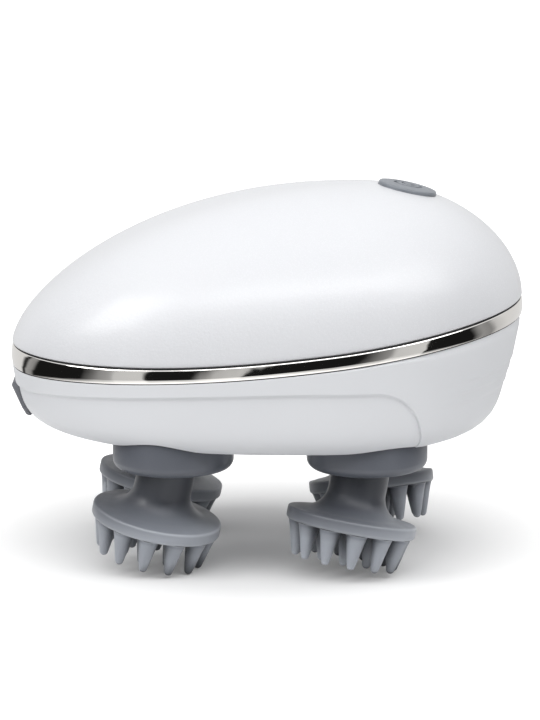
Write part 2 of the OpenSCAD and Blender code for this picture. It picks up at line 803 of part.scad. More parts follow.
module motor_endcap() {
    color([0.15, 0.15, 0.16])
    translate([motor_x + motor_len, 0, motor_z]) rotate([0, 90, 0]) {
        linear_extrude(height = 1.6) can_plan(-0.6);
        cylinder(r = 4, h = 2.8);
        for (s = [-1, 1]) translate([-0.3, s * 6.5 - 1, 0]) cube([0.6, 2, 4]);
    }
}

module motor_strap() {
    color([0.6, 0.61, 0.63])
    translate([motor_x + (motor_len - strap_len) / 2, 0, motor_z]) rotate([0, 90, 0]) difference() {
        linear_extrude(height = strap_len) difference() {
            union() {
                can_plan(0.8);
                translate([motor_h / 2 - cheek_h - 0.8, -motor_w / 2 - 4.8]) square([0.8, motor_w + 9.6]);
            }
            can_plan(0.01);
            translate([motor_h / 2 - cheek_h, -20]) square([10, 40]);
        }
        for (s = [-1, 1]) translate([0, s * (motor_w / 2 + 3), strap_len / 2]) rotate([0, 90, 0])
            cylinder(r = 0.95, h = 12);
    }
}

// the small screws of the strap and the worm bridge are all alike
module bracket_screws() {
    color([0.65, 0.65, 0.67]) {
        for (p = strap_pts) translate([p[0], p[1], plate_top + cheek_h + 0.8])
            pan_screw(4.2, 0.9, 1.6, 1);
        for (p = leg_pts) translate([p[0], p[1], bridge_z + 1.6]) pan_screw(5, 0.9, 1.6, 1);
    }
}

module motor_shaft() {
    color([0.75, 0.76, 0.78])
    translate([mid_x - 12, 0, motor_z]) rotate([0, 90, 0]) cylinder(r = 1, h = 12 + motor_x - mid_x + 8);
}

// screw thread: a ridge swept round a core
module worm() {
    color([0.72, 0.6, 0.35])
    difference() {
        union() {
            translate([mid_x - worm_len / 2, 0, motor_z]) rotate([0, 90, 0])
                cylinder(r = worm_r - 0.65, h = worm_len);
            worm_thread();
        }
        translate([mid_x - 20, 0, motor_z]) rotate([0, 90, 0]) cylinder(r = 1, h = 40);
    }
}

module worm_thread() {
    per = 16;
    n = floor((worm_len - 2) / worm_lead * per);
    r0 = worm_r - 0.75;
    r1 = worm_r + 0.5;
    pts = [for (i = [0:n], c = [[r0, -0.5], [r1, -0.2], [r1, 0.2], [r0, 0.5]])
        let (t = i - n / 2, a = 360 * t / per)
        [mid_x + t * worm_lead / per + c[1], c[0] * cos(a), motor_z + c[0] * sin(a)]];
    faces = concat(
        [for (i = [0:n - 1], k = [0:3], t = [0, 1])
            let (l = (k + 1) % 4, a = 4 * i + k, b = 4 * i + l)
            t == 0 ? [a, a + 4, b + 4] : [a, b + 4, b]],
        [[0, 1, 2], [0, 2, 3], [4 * n, 4 * n + 2, 4 * n + 1], [4 * n, 4 * n + 3, 4 * n + 2]]);
    polyhedron(points = pts, faces = turn(faces, true), convexity = 10);
}

// ---------- kneading heads ----------

module drum(i) {
    color([0.4, 0.41, 0.44])
    difference() {
        at_head(i) translate([0, 0, drum_z0]) rotate_extrude() {
            polygon(concat([[0, 0], [drum_r - 3.6, 0]],
                [for (k = [1:7]) let (a = 90 * k / 8)
                    [drum_r - 3.6 + 3.6 * sin(a), 3.6 - 3.6 * cos(a)]],
                [[drum_r, 3.6], [drum_r, drum_z1 - drum_z0 - 0.5],
                 [drum_r - 0.5, drum_z1 - drum_z0], [0, drum_z1 - drum_z0]]));
        }
        at_tilt(i) translate([0, 0, recess_s]) cylinder(r = neck_r + 0.4, h = 12);
        at_tilt(i) translate([0, 0, axle_top_s]) cylinder(r = axle_r, h = 12);
        at_head(i) translate([0, 0, shaft_foot_z]) cylinder(r = shaft_r, h = 12);
    }
}

module oblique_axle(i) {
    color([0.75, 0.76, 0.78])
    at_tilt(i) {
        translate([0, 0, axle_top_s]) cylinder(r = axle_r, h = disc_s + 1.6 - axle_top_s);
        translate([0, 0, disc_s + 0.6]) cylinder(r = axle_foot_r, h = 1);
    }
}

module head_hub(i) {
    color([0.3, 0.31, 0.33])
    at_tilt(i) difference() {
        union() {
            translate([0, 0, hub_top_s]) cylinder(r = hub_r, h = disc_s - hub_top_s);
            translate([0, 0, disc_s - 1]) cylinder(r = hub_foot_r, h = 1.5);
        }
        translate([0, 0, 0]) cylinder(r = axle_r + run_gap, h = disc_s + 4);
    }
}

module tine(ring, ang) {
    rotate([0, 0, ang]) translate([ring, 0, under_s - tine_sink]) rotate([0, -tine_lean, 0]) {
        cylinder(r1 = tine_r, r2 = tip_r + 0.05, h = tine_len + tine_sink - tip_r);
        translate([0, 0, tine_len + tine_sink - tip_r]) sphere(r = tip_r);
    }
}

// flare from the neck to the disc, then a gently sloped top out to the rim
flare_r = 5.4;
function head_profile() = concat(
    [[0, hub_top_s], [neck_r - 0.3, hub_top_s], [neck_r, hub_top_s + 0.3], [neck_r, disc_s - 0.5 - flare_r]],
    [for (k = [1:8]) let (a = 90 * k / 8 - 4)
        [neck_r + flare_r - flare_r * cos(a), disc_s - 0.5 - flare_r + flare_r * sin(a)]],
    [[disc_r - 0.5, disc_s], [disc_r - 0.2, disc_s + 0.15], [disc_r, disc_s + 0.5],
     [disc_r, under_s - 0.9], [disc_r - 0.5, under_s], [0, under_s]]);

module massage_head(i) {
    color([0.55, 0.57, 0.61])
    at_tilt(i) difference() {
        union() {
            rotate_extrude() polygon(head_profile());
            for (k = [0:tine_outer - 1]) tine(tine_ring, spin[i] + 360 * k / tine_outer);
            for (k = [0:tine_inner - 1]) tine(tine_ring_in, spin[i] + 360 * k / tine_inner + 10);
            translate([0, 0, under_s - tine_sink]) {
                cylinder(r1 = tine_r, r2 = tip_r + 0.05, h = tine_len + tine_sink - tip_r);
                translate([0, 0, tine_len + tine_sink - tip_r]) sphere(r = tip_r);
            }
        }
        translate([0, 0, hub_top_s - 1]) cylinder(r = hub_r, h = disc_s - hub_top_s + 1);
        translate([0, 0, disc_s - 1]) cylinder(r = hub_foot_r, h = 1.5);
        translate([0, 0, disc_s]) cylinder(r = axle_foot_r + 0.3, h = 1.8);
    }
}

// ---------- battery and charging ----------

module battery_tray() {
    color([0.3, 0.31, 0.33])
    difference() {
        union() {
            translate([cell_x, 0, tray_z]) slab(cell_len + 3, cell_w + 3, tray_t + 3, 2);
            for (i = [-1, 1], j = [-1, 1]) translate([mid_x + i * post_x, j * post_y, plate_top])
                cylinder(r = post_r, h = tray_z + tray_t - plate_top);
            for (i = [-1, 1]) translate([mid_x + i * post_x - post_r, -post_y, tray_z])
                cube([2 * post_r, 2 * post_y, tray_t]);
        }
        translate([cell_x, 0, tray_z + tray_t]) slab(cell_len + 0.2, cell_w + 0.2, 10, 1);
        translate([cell_x, 0, tray_z - 1]) slab(cell_len - 16, cell_w - 12, 10, 3);
    }
}

module battery_cell() {
    color([0.75, 0.77, 0.8])
    translate([cell_x, 0, tray_z + tray_t]) {
        slab(cell_len, cell_w, cell_t, 1);
        for (s = [-1, 1]) translate([cell_len / 2 - 0.5, s * 8 - 2, cell_t / 2]) cube([2.5, 4, 0.4]);
    }
}

module charge_socket() {
    color([0.72, 0.73, 0.75])
    at_port() translate([0, 0, -2.4 - socket_len]) difference() {
        linear_extrude(height = socket_len) stadium(socket_h, socket_w);
        translate([0, 0, 1]) linear_extrude(height = socket_len) stadium(socket_h - 0.7, socket_w - 0.7);
    }
}

module stadium(h, w) {
    square([h, w - h], center = true);
    for (s = [-1, 1]) translate([0, s * (w - h) / 2]) circle(r = h / 2);
}

module charge_board() {
    color([0.1, 0.35, 0.2])
    at_port() {
        translate([-socket_h / 2 - 1.2, -8, -18]) cube([1.2, 16, 18 + bed_w]);
        translate([-socket_h / 2, -3, -15.5]) cube([1.3, 6, 3.5]);
        translate([-socket_h / 2, 3.8, -17.6]) cube([2.4, 3.6, 3]);
    }
}

module port_plug() {
    color([0.51, 0.51, 0.54])
    at_port() {
        translate([0, 0, plug_up - plug_t]) {
            translate([-plug_h / 2 + 1, -plug_w / 2, 0]) cube([plug_h - 1 - hinge_r, plug_w, plug_t]);
            translate([-plug_h / 2, -plug_w / 2 + 1, 0]) cube([2, plug_w - 2, plug_t]);
            for (s = [-1, 1]) translate([-plug_h / 2 + 1, s * (plug_w / 2 - 1), 0]) cylinder(r = 1, h = plug_t);
        }
        translate([hinge_u, -plug_w / 2, plug_up - hinge_r]) rotate([-90, 0, 0])
            cylinder(r = hinge_r, h = plug_w);
        translate([-1.2, -4, plug_up - plug_t - 1.2]) cube([2.4, 8, 1.3]);
    }
}

// ---------- leads ----------

// a point on a smooth line through the given stations
function mix(p, i, t) =
    let (a = p[max(0, i - 1)], b = p[i], c = p[i + 1], d = p[min(len(p) - 1, i + 2)])
    0.5 * (2 * b + (c - a) * t + (2 * a - 5 * b + 4 * c - d) * t * t
           + (3 * b - a - 3 * c + d) * t * t * t);

function smooth(p, n) = [for (i = [0:len(p) - 2], k = [0:n - 1]) mix(p, i, k / n)];

function unit(v) = v / norm(v);

// a round lead through the stations; both end faces stand square to the end stretches
module lead(stations, r) {
    sides = 8;
    last = len(stations) - 1;
    path = concat(smooth(stations, 4), [stations[last]]);
    m = len(path);
    pts = [for (i = [0:m - 1])
        let (d = unit(i == 0 ? stations[1] - stations[0]
                      : i == m - 1 ? stations[last] - stations[last - 1] : path[i + 1] - path[i - 1]),
             u = unit(cross(d, [0.3, 1, 0.2])), v = cross(d, u))
        for (k = [0:sides - 1])
            path[i] + r * (u * cos(360 * k / sides) + v * sin(360 * k / sides))];
    faces = concat(
        [for (i = [0:m - 2], k = [0:sides - 1], t = [0, 1])
            let (l = (k + 1) % sides, a = sides * i + k, b = sides * i + l)
            t == 0 ? [a, a + sides, b + sides] : [a, b + sides, b]],
        [[for (k = [0:sides - 1]) k]],
        [[for (k = [0:sides - 1]) sides * m - 1 - k]]);
    polyhedron(points = pts, faces = faces, convexity = 10);
}

// a point given in the button frame or the port frame, in the main frame
function from_button(p) = [button_x + p[0] * cos(button_tilt) + p[2] * sin(button_tilt), p[1],
                           button_z - p[0] * sin(button_tilt) + p[2] * cos(button_tilt)];
function from_port(p) = [port_x + p[0] * cos(port_tilt) + p[2] * sin(port_tilt), p[1],
                         port_z - p[0] * sin(port_tilt) + p[2] * cos(port_tilt)];

lead_r = 0.6;

// cell tabs to the underside of the main board
module power_leads() {
    color([0.7, 0.15, 0.12])
    for (s = [-1, 1]) lead([
        [cell_x + cell_len / 2 + 1.2, s * 8, tray_z + tray_t + cell_t / 2 + 0.4],
        [cell_x + cell_len / 2 + 1.2, s * 8, tray_z + tray_t + cell_t / 2 + 2.4],
        from_button([1.5, s * 4.6, board_w - board_t - 3]),
        from_button([1.5, s * 4.6, board_w - board_t])], lead_r);
}

// motor terminals to the nose end of the main board
module motor_leads() {
    color([0.15, 0.25, 0.6])
    for (s = [-1, 1]) lead([
        [motor_x + motor_len + 4, s * 6.5, motor_z],
        [motor_x + motor_len + 5.4, s * 6.5, motor_z],
        [motor_x + motor_len + 5.6, s * 5.8, motor_z + 8],
        from_button([12, s * 4, board_w - board_t - 3]),
        from_button([12, s * 4, board_w - board_t])], lead_r);
}

// charging board round the end of the cell to the tail end of the main board
module charge_leads() {
    color([0.12, 0.12, 0.13])
    for (s = [0, 1]) let (y = 3.4 + 1.6 * s, cell_end = cell_x - cell_len / 2) lead([
        from_port([2.4 - socket_h / 2, y + 1.4, -16.1]),
        from_port([5.4 - socket_h / 2, y + 1.4, -16.1]),
        from_port([9.5 - socket_h / 2, y + 1.4, -19.5]),
        [cell_end - 4.5, y + 1.2, tray_z + 2],
        [cell_end - 3, y + 1.2, tray_z + tray_t + cell_t + 0.5],
        [cell_end + 4, y + 1, tray_z + tray_t + cell_t + 3],
        from_button([plug_end - 6.5, y, board_w - 0.5]),
        from_button([plug_end - 3, y, board_w + plug_high / 2]),
        from_button([plug_end, y, board_w + plug_high / 2])], lead_r);
}

// ---------- assembly ----------

upper_shell();
lower_shell();
trim_ring();
shell_gasket();
power_button();
switch_stem();
tact_switch();
main_board();
board_parts();
board_screws();
case_screws();
gear_deck();
gear_plate();
plate_screws();
shaft_bushes();
shaft_seals();
worm_bridge();
bracket_screws();
motor_can();
motor_endcap();
motor_strap();
motor_shaft();
worm();
drive_shaft();
drive_gear();
worm_wheel();
idler_shaft();
idler_gear();
output_gear(0);  // output_gear_1
output_gear(1);  // output_gear_2
output_gear(2);  // output_gear_3
output_gear(3);  // output_gear_4
output_shaft(0);  // output_shaft_1
output_shaft(1);  // output_shaft_2
output_shaft(2);  // output_shaft_3
output_shaft(3);  // output_shaft_4
drum(0);  // drum_1
drum(1);  // drum_2
drum(2);  // drum_3
drum(3);  // drum_4
oblique_axle(0);  // oblique_axle_1
oblique_axle(1);  // oblique_axle_2
oblique_axle(2);  // oblique_axle_3
oblique_axle(3);  // oblique_axle_4
head_hub(0);  // head_hub_1
head_hub(1);  // head_hub_2
head_hub(2);  // head_hub_3
head_hub(3);  // head_hub_4
massage_head(0);  // massage_head_1
massage_head(1);  // massage_head_2
massage_head(2);  // massage_head_3
massage_head(3);  // massage_head_4
battery_cell();
battery_tray();
charge_socket();
charge_board();
port_plug();
power_leads();
motor_leads();
charge_leads();
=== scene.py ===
import bpy
import json
import math
from mathutils import Matrix, Vector

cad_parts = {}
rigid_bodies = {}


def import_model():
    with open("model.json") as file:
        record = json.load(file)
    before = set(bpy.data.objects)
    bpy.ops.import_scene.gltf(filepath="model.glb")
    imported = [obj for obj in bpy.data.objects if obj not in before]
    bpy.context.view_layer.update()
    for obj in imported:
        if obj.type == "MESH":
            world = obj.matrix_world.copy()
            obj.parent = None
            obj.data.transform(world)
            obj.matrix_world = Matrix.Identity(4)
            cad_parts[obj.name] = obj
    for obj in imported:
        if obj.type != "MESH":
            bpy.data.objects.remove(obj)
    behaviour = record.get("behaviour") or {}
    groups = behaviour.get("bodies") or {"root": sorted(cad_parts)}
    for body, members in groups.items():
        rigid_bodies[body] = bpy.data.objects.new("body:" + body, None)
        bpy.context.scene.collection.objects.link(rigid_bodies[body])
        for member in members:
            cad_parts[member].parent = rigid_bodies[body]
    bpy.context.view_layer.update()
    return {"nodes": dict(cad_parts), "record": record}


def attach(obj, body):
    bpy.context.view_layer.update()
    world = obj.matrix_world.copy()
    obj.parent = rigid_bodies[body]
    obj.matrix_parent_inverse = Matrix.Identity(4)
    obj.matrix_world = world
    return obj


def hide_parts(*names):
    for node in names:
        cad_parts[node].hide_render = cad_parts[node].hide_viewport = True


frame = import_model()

mm = 0.001
scene = bpy.context.scene


# picking and small helpers
def clearPick():
    for thing in bpy.context.view_layer.objects:
        thing.select_set(False)


def pick(piece):
    clearPick()
    piece.select_set(True)
    bpy.context.view_layer.objects.active = piece


def editAll(piece):
    pick(piece)
    bpy.ops.object.mode_set(mode="EDIT")
    bpy.ops.mesh.select_all(action="SELECT")


def editNone(piece, kind):
    # edit mode with nothing selected, ready to pick edges or faces
    editAll(piece)
    bpy.ops.mesh.select_mode(type=kind)
    bpy.ops.mesh.select_all(action="DESELECT")


def leaveEdit():
    bpy.ops.object.mode_set(mode="OBJECT")


def tidyMesh(piece, gap=0.000002):
    editAll(piece)
    bpy.ops.mesh.remove_doubles(threshold=gap)
    bpy.ops.mesh.normals_make_consistent(inside=False)
    leaveEdit()


def smooth(piece, degrees=32):
    pick(piece)
    bpy.ops.object.shade_smooth_by_angle(angle=math.radians(degrees))


def place(piece, spot):
    # the place goes into the mesh, and the object stays at the origin
    pick(piece)
    piece.matrix_world = spot
    bpy.ops.object.transform_apply(location=True, rotation=True, scale=True)


def copyOf(piece, name):
    pick(piece)
    bpy.ops.object.duplicate(linked=False)
    twin = bpy.context.object
    twin.name = name
    return twin


def drop(piece):
    bpy.data.objects.remove(piece, do_unlink=True)


def applyAll(piece):
    pick(piece)
    for modifier in list(piece.modifiers):
        bpy.ops.object.modifier_apply(modifier=modifier.name)


def carve(piece, tool, how="DIFFERENCE"):
    cut = piece.modifiers.new("cut", "BOOLEAN")
    cut.operation = how
    cut.solver = "EXACT"
    cut.object = tool
    applyAll(piece)
    drop(tool)


def rod(name, radius, low, high, centre=(0, 0), corners=96):
    clearPick()
    bpy.ops.mesh.primitive_cylinder_add(
        vertices=corners, radius=radius * mm, depth=(high - low) * mm,
        location=(centre[0] * mm, centre[1] * mm, (low + high) / 2 * mm))
    piece = bpy.context.object
    piece.name = name
    place(piece, piece.matrix_world.copy())
    return piece


def block(name, low, high):
    clearPick()
    middle = [(a + b) / 2 * mm for a, b in zip(low, high)]
    bpy.ops.mesh.primitive_cube_add(size=1, location=middle)
    piece = bpy.context.object
    piece.name = name
    piece.scale = [(b - a) * mm for a, b in zip(low, high)]
    place(piece, Matrix.LocRotScale(piece.location, None, piece.scale))
    return piece


def slab(name, length, width, low, high):
    # a block with its middle on the axis
    return block(name, (-length / 2, -width / 2, low), (length / 2, width / 2, high))


def turned(name, profile, corners=96):
    # a disc drawn out ring by ring along (radius, height), closed at both ends
    clearPick()
    bpy.ops.mesh.primitive_circle_add(
        vertices=corners, radius=profile[0][0] * mm, fill_type="NGON",
        location=(0, 0, profile[0][1] * mm))
    piece = bpy.context.object
    piece.name = name
    place(piece, piece.matrix_world.copy())
    bpy.ops.object.mode_set(mode="EDIT")
    bpy.ops.mesh.select_mode(type="FACE")
    bpy.ops.mesh.select_all(action="SELECT")
    for (r0, z0), (r1, z1) in zip(profile, profile[1:]):
        bpy.ops.mesh.extrude_region_move(
            TRANSFORM_OT_translate={"value": (0, 0, (z1 - z0) * mm)})
        bpy.ops.transform.resize(value=(r1 / r0, r1 / r0, 1), center_override=(0, 0, 0))
    leaveEdit()
    tidyMesh(piece)
    return piece


def movedTo(piece, centre):
    place(piece, Matrix.Translation((centre[0] * mm, centre[1] * mm, 0)))
    return piece


def joined(pieces):
    clearPick()
    for piece in pieces:
        piece.select_set(True)
    bpy.context.view_layer.objects.active = pieces[0]
    bpy.ops.object.join()
    return pieces[0]


def arc(centre, radius, start, end, steps):
    turns = [math.radians(start + (end - start) * k / steps) for k in range(steps + 1)]
    return [(centre[0] + radius * math.cos(a), centre[1] + radius * math.sin(a)) for a in turns]


# camera: where it looks and how far away it stands in millimetres, and how far down in degrees
view = {"target": (0.7, 0, 46.3), "away": 870, "down": 11,
        "pixelsPerMm": 4.156, "imageHeight": 720, "sensor": 36}


def addCamera():
    tilt = math.radians(view["down"])
    target = Vector(view["target"]) * mm
    bpy.ops.object.camera_add()
    camera = bpy.context.object
    camera.name = "camera"
    away = Vector((0, -math.cos(tilt), math.sin(tilt))) * view["away"] * mm
    camera.location = target + away
    camera.rotation_euler = (-away).to_track_quat("-Z", "Y").to_euler()
    camera.data.sensor_fit = "VERTICAL"
    camera.data.sensor_height = view["sensor"]
    camera.data.lens = view["pixelsPerMm"] * view["away"] * view["sensor"] / view["imageHeight"]
    camera.data.clip_start = 0.01
    camera.data.clip_end = 50
    camera.data.dof.use_dof = False
    scene.camera = camera


clearPick()
addCamera()
print("camera set")


# what every finish starts from, and the nodes that they share
def newMaterial(name):
    material = bpy.data.materials.new(name)
    material.use_nodes = True
    tree = material.node_tree
    coords = addNode(tree, "ShaderNodeTexCoord").outputs["Object"]
    return material, tree, tree.nodes["Principled BSDF"], coords


def addNode(tree, kind, **values):
    node = tree.nodes.new(kind)
    for key, value in values.items():
        setattr(node, key, value)
    return node


def noise(tree, coords, scale, detail=3.0, rough=0.55):
    node = addNode(tree, "ShaderNodeTexNoise")
    node.inputs["Scale"].default_value = scale
    node.inputs["Detail"].default_value = detail
    node.inputs["Roughness"].default_value = rough
    tree.links.new(coords, node.inputs["Vector"])
    return node.outputs["Fac"]


def spread(tree, value, low, high, fromLow=0.3, fromHigh=0.7):
    node = addNode(tree, "ShaderNodeMapRange", clamp=True)
    ends = {"From Min": fromLow, "From Max": fromHigh, "To Min": low, "To Max": high}
    for name, number in ends.items():
        node.inputs[name].default_value = number
    tree.links.new(value, node.inputs["Value"])
    return node.outputs["Result"]


def mixColours(tree, amount, first, second):
    node = addNode(tree, "ShaderNodeMix", data_type="RGBA")
    for socket, colour in ((node.inputs[6], first), (node.inputs[7], second)):
        if isinstance(colour, bpy.types.NodeSocket):
            tree.links.new(colour, socket)
        else:
            socket.default_value = (*colour, 1)
    tree.links.new(amount, node.inputs[0])
    return node.outputs[2]


def bump(tree, shader, height, depth, strength=1.0):
    node = addNode(tree, "ShaderNodeBump")
    node.inputs["Strength"].default_value = strength
    node.inputs["Distance"].default_value = depth
    tree.links.new(height, node.inputs["Height"])
    tree.links.new(node.outputs["Normal"], shader.inputs["Normal"])


def finish(name, colour, rough, metal=0.0, mottle=0.04, patch=60, grain=1600, depth=0.00001,
           stretch=None):
    # colour and roughness drift a little over the surface, and a fine grain stands in the normal
    material, tree, shader, coords = newMaterial(name)
    grainCoords = coords
    if stretch:
        turn = addNode(tree, "ShaderNodeMapping")
        turn.inputs["Scale"].default_value = stretch
        tree.links.new(coords, turn.inputs["Vector"])
        grainCoords = turn.outputs["Vector"]
    dark = [c * (1 - mottle) for c in colour]
    light = [c * (1 + mottle) for c in colour]
    drift = spread(tree, noise(tree, coords, patch), 0, 1)
    tree.links.new(mixColours(tree, drift, dark, light), shader.inputs["Base Color"])
    wander = 0.05      # how far the roughness goes either way
    tree.links.new(spread(tree, noise(tree, coords, patch * 3), rough - wander, rough + wander),
                   shader.inputs["Roughness"])
    bump(tree, shader, noise(tree, grainCoords, grain), depth)
    shader.inputs["Metallic"].default_value = metal
    return material


pearl = {"plain": (0.70, 0.708, 0.733), "flake": (0.752, 0.761, 0.786),
         "drift": (0.73, 0.739, 0.763), "driftScale": 25, "driftMost": 0.6,
         "flakeScale": 2600, "flakeReach": (0.05, 0.45), "rough": (0.46, 0.34),
         "peelScale": 1500, "peelDetail": 2.0, "peelDepth": 0.00007, "peelStrength": 0.9,
         "coat": 0.5, "coatRough": 0.22}


def pearlFinish():
    # white lacquer over fine mica: tiny flakes lift the colour, and under the clear coat stands a
    # faint orange peel
    material, tree, shader, coords = newMaterial("pearlWhite")
    flakes = addNode(tree, "ShaderNodeTexVoronoi", feature="F1")
    flakes.inputs["Scale"].default_value = pearl["flakeScale"]
    tree.links.new(coords, flakes.inputs["Vector"])
    speck = spread(tree, flakes.outputs["Distance"], 1, 0, *pearl["flakeReach"])
    white = mixColours(tree, speck, pearl["plain"], pearl["flake"])
    drift = spread(tree, noise(tree, coords, pearl["driftScale"]), 0, pearl["driftMost"])
    tree.links.new(mixColours(tree, drift, white, pearl["drift"]), shader.inputs["Base Color"])
    tree.links.new(spread(tree, speck, *pearl["rough"], 0, 1), shader.inputs["Roughness"])
    peel = noise(tree, coords, pearl["peelScale"], pearl["peelDetail"])
    bump(tree, shader, peel, pearl["peelDepth"], pearl["peelStrength"])
    shader.inputs["Coat Weight"].default_value = pearl["coat"]
    shader.inputs["Coat Roughness"].default_value = pearl["coatRough"]
    return material


plating = {"tints": ((0.82, 0.795, 0.76), (0.88, 0.86, 0.83)), "tintScale": 40,
           "rough": (0.03, 0.07), "roughScale": 900,
           "waveScale": 110, "waveDetail": 1.5, "waveDepth": 0.0002, "waveStrength": 0.6}


def trimFinish():
    # bright plating, with the slow waves that a thin moulded band has
    material, tree, shader, coords = newMaterial("brightTrim")
    drift = spread(tree, noise(tree, coords, plating["tintScale"]), 0, 1)
    tree.links.new(mixColours(tree, drift, *plating["tints"]), shader.inputs["Base Color"])
    tree.links.new(spread(tree, noise(tree, coords, plating["roughScale"]), *plating["rough"]),
                   shader.inputs["Roughness"])
    waves = noise(tree, coords, plating["waveScale"], plating["waveDetail"])
    bump(tree, shader, waves, plating["waveDepth"], plating["waveStrength"])
    shader.inputs["Metallic"].default_value = 1.0
    return material


board = {"scale": 320, "lineWidth": 0.06, "depth": 0.00003,
         "rough": (0.25, 0.35), "roughScale": 200,
         "colours": {"Color1": (0.02, 0.12, 0.05), "Color2": (0.025, 0.14, 0.06),
                     "Mortar": (0.05, 0.25, 0.10)}}


def boardFinish():
    # solder mask with the copper tracks showing through as lighter lines
    material, tree, shader, coords = newMaterial("solderMask")
    tracks = addNode(tree, "ShaderNodeTexBrick")
    tracks.inputs["Scale"].default_value = board["scale"]
    tracks.inputs["Mortar Size"].default_value = board["lineWidth"]
    for name, colour in board["colours"].items():
        tracks.inputs[name].default_value = (*colour, 1)
    tree.links.new(coords, tracks.inputs["Vector"])
    tree.links.new(tracks.outputs["Color"], shader.inputs["Base Color"])
    tree.links.new(spread(tree, noise(tree, coords, board["roughScale"]), *board["rough"]),
                   shader.inputs["Roughness"])
    bump(tree, shader, tracks.outputs["Fac"], board["depth"])
    return material


# neckFrom gives the heights in metres between which the colour turns to the painted shade up the
# neck; nook is the colour of the painted shade between the tines, and the lightest colour is the
# painted highlight on sharp edges
silicone = {"body": ((0.275, 0.295, 0.334), (0.31, 0.332, 0.375)), "bodyScale": 90,
            "dust": (0.33, 0.35, 0.39), "dustScale": 1500, "dustMost": 0.35,
            "dustFrom": (0.55, 0.75), "dustAndPaintedLight": (0.50, 0.525, 0.57), "paintedHighlightFrom": (0.505, 0.545),
            "neck": (0.062, 0.067, 0.081), "neckFrom": (0.0105, 0.0175),
            "nook": (0.025, 0.028, 0.034), "nookReach": 0.005, "nookLeast": 0.1,
            "nookFrom": (0.35, 0.9), "rough": (0.36, 0.48), "roughScale": 300,
            "grainScale": 2600, "grainDepth": 0.000012,
            "specular": 0.45, "sheen": 0.08, "sheenRough": 0.5}


def siliconeFinish():
    # moulded silicone: matt and faintly dusty, with a painted highlight that lightens the sharp
    # edges, and painted shade that darkens it up the neck and in the nooks between the tines
    material, tree, shader, coords = newMaterial("greySilicone")
    drift = spread(tree, noise(tree, coords, silicone["bodyScale"]), 0, 1)
    body = mixColours(tree, drift, *silicone["body"])
    powder = noise(tree, coords, silicone["dustScale"], 5.0, 0.7)
    dust = spread(tree, powder, 0, silicone["dustMost"], *silicone["dustFrom"])
    dustAndPaintedLight = mixColours(tree, dust, body, silicone["dust"])
    # painted highlight: pointiness lightens the sharp edges and lips
    edges = addNode(tree, "ShaderNodeNewGeometry").outputs["Pointiness"]
    high = spread(tree, edges, 0, 1, *silicone["paintedHighlightFrom"])
    dustAndPaintedLight = mixColours(tree, high, dustAndPaintedLight, silicone["dustAndPaintedLight"])
    # painted shade: the colour darkens with height up the neck
    spot = addNode(tree, "ShaderNodeSeparateXYZ")
    tree.links.new(coords, spot.inputs[0])
    neck = spread(tree, spot.outputs["Z"], 0, 1, *silicone["neckFrom"])
    dustAndPaintedLight = mixColours(tree, neck, dustAndPaintedLight, silicone["neck"])
    # painted shade: ambient occlusion darkens the nooks between the tines
    nooks = addNode(tree, "ShaderNodeAmbientOcclusion", samples=8)
    nooks.inputs["Distance"].default_value = silicone["nookReach"]
    nookShade = spread(tree, nooks.outputs["AO"], silicone["nookLeast"], 1, *silicone["nookFrom"])
    tree.links.new(mixColours(tree, nookShade, silicone["nook"], dustAndPaintedLight), shader.inputs["Base Color"])
    tree.links.new(spread(tree, noise(tree, coords, silicone["roughScale"]), *silicone["rough"]),
                   shader.inputs["Roughness"])
    bump(tree, shader, noise(tree, coords, silicone["grainScale"], 3.0), silicone["grainDepth"])
    shader.inputs["Specular IOR Level"].default_value = silicone["specular"]
    shader.inputs["Sheen Weight"].default_value = silicone["sheen"]
    shader.inputs["Sheen Roughness"].default_value = silicone["sheenRough"]
    return material


finishes = {
    "pearl_white": pearlFinish(),
    "satin_white": finish("satinWhite", (0.745, 0.757, 0.782), 0.42, mottle=0.012, patch=25,
                          grain=2300),
    "bright_trim": trimFinish(),
    "gasket_black": finish("gasketBlack", (0.012, 0.012, 0.013), 0.7, grain=1200, depth=0.00002),
    "button_grey": finish("buttonGrey", (0.22, 0.236, 0.262), 0.42, mottle=0.05, patch=400,
                          grain=3000, depth=0.000008),
    "plug_grey": finish("plugGrey", (0.20, 0.205, 0.225), 0.5, mottle=0.05, patch=200, grain=2000),
    "drum_grey": finish("drumGrey", (0.108, 0.117, 0.139), 0.38, mottle=0.03, patch=80, grain=2400),
    "silicone_grey": siliconeFinish(),
    "frame_black": finish("frameBlack", (0.02, 0.021, 0.023), 0.5, grain=1500, depth=0.00002),
    "gear_nylon": finish("gearNylon", (0.80, 0.76, 0.66), 0.38, mottle=0.02, grain=1800,
                         depth=0.000008),
    "steel": finish("groundSteel", (0.58, 0.59, 0.61), 0.28, metal=1.0, grain=900,
                    depth=0.000006, stretch=(6, 1, 1)),
    "brass": finish("turnedBrass", (0.70, 0.50, 0.22), 0.25, metal=1.0, grain=900,
                    depth=0.000006, stretch=(1, 1, 6)),
    "can_steel": finish("platedSteel", (0.62, 0.63, 0.64), 0.32, metal=1.0, mottle=0.07,
                        patch=150, stretch=(1, 6, 6)),
    "board_green": boardFinish(),
    "parts_black": finish("partsBlack", (0.015, 0.015, 0.017), 0.42, grain=2500),
    "cell_foil": finish("cellFoil", (0.66, 0.68, 0.70), 0.3, metal=0.85, mottle=0.05, patch=90,
                        grain=260, depth=0.00006),
    "lead_red": finish("leadRed", (0.50, 0.02, 0.015), 0.4, grain=2500),
    "lead_blue": finish("leadBlue", (0.02, 0.05, 0.35), 0.4, grain=2500),
    "lead_black": finish("leadBlack", (0.012, 0.012, 0.013), 0.4, grain=2500),
}

slotOf = {part["node"]: part["material_slot"] for part in frame["record"]["subparts"]}
for node, cadPiece in frame["nodes"].items():
    for socket in cadPiece.material_slots:
        socket.material = finishes[slotOf[node]]
print("materials ready")


def dress(piece, node, body):
    piece.data.materials.clear()
    piece.data.materials.append(finishes[slotOf[node]])
    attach(piece, body)
    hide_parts(node)


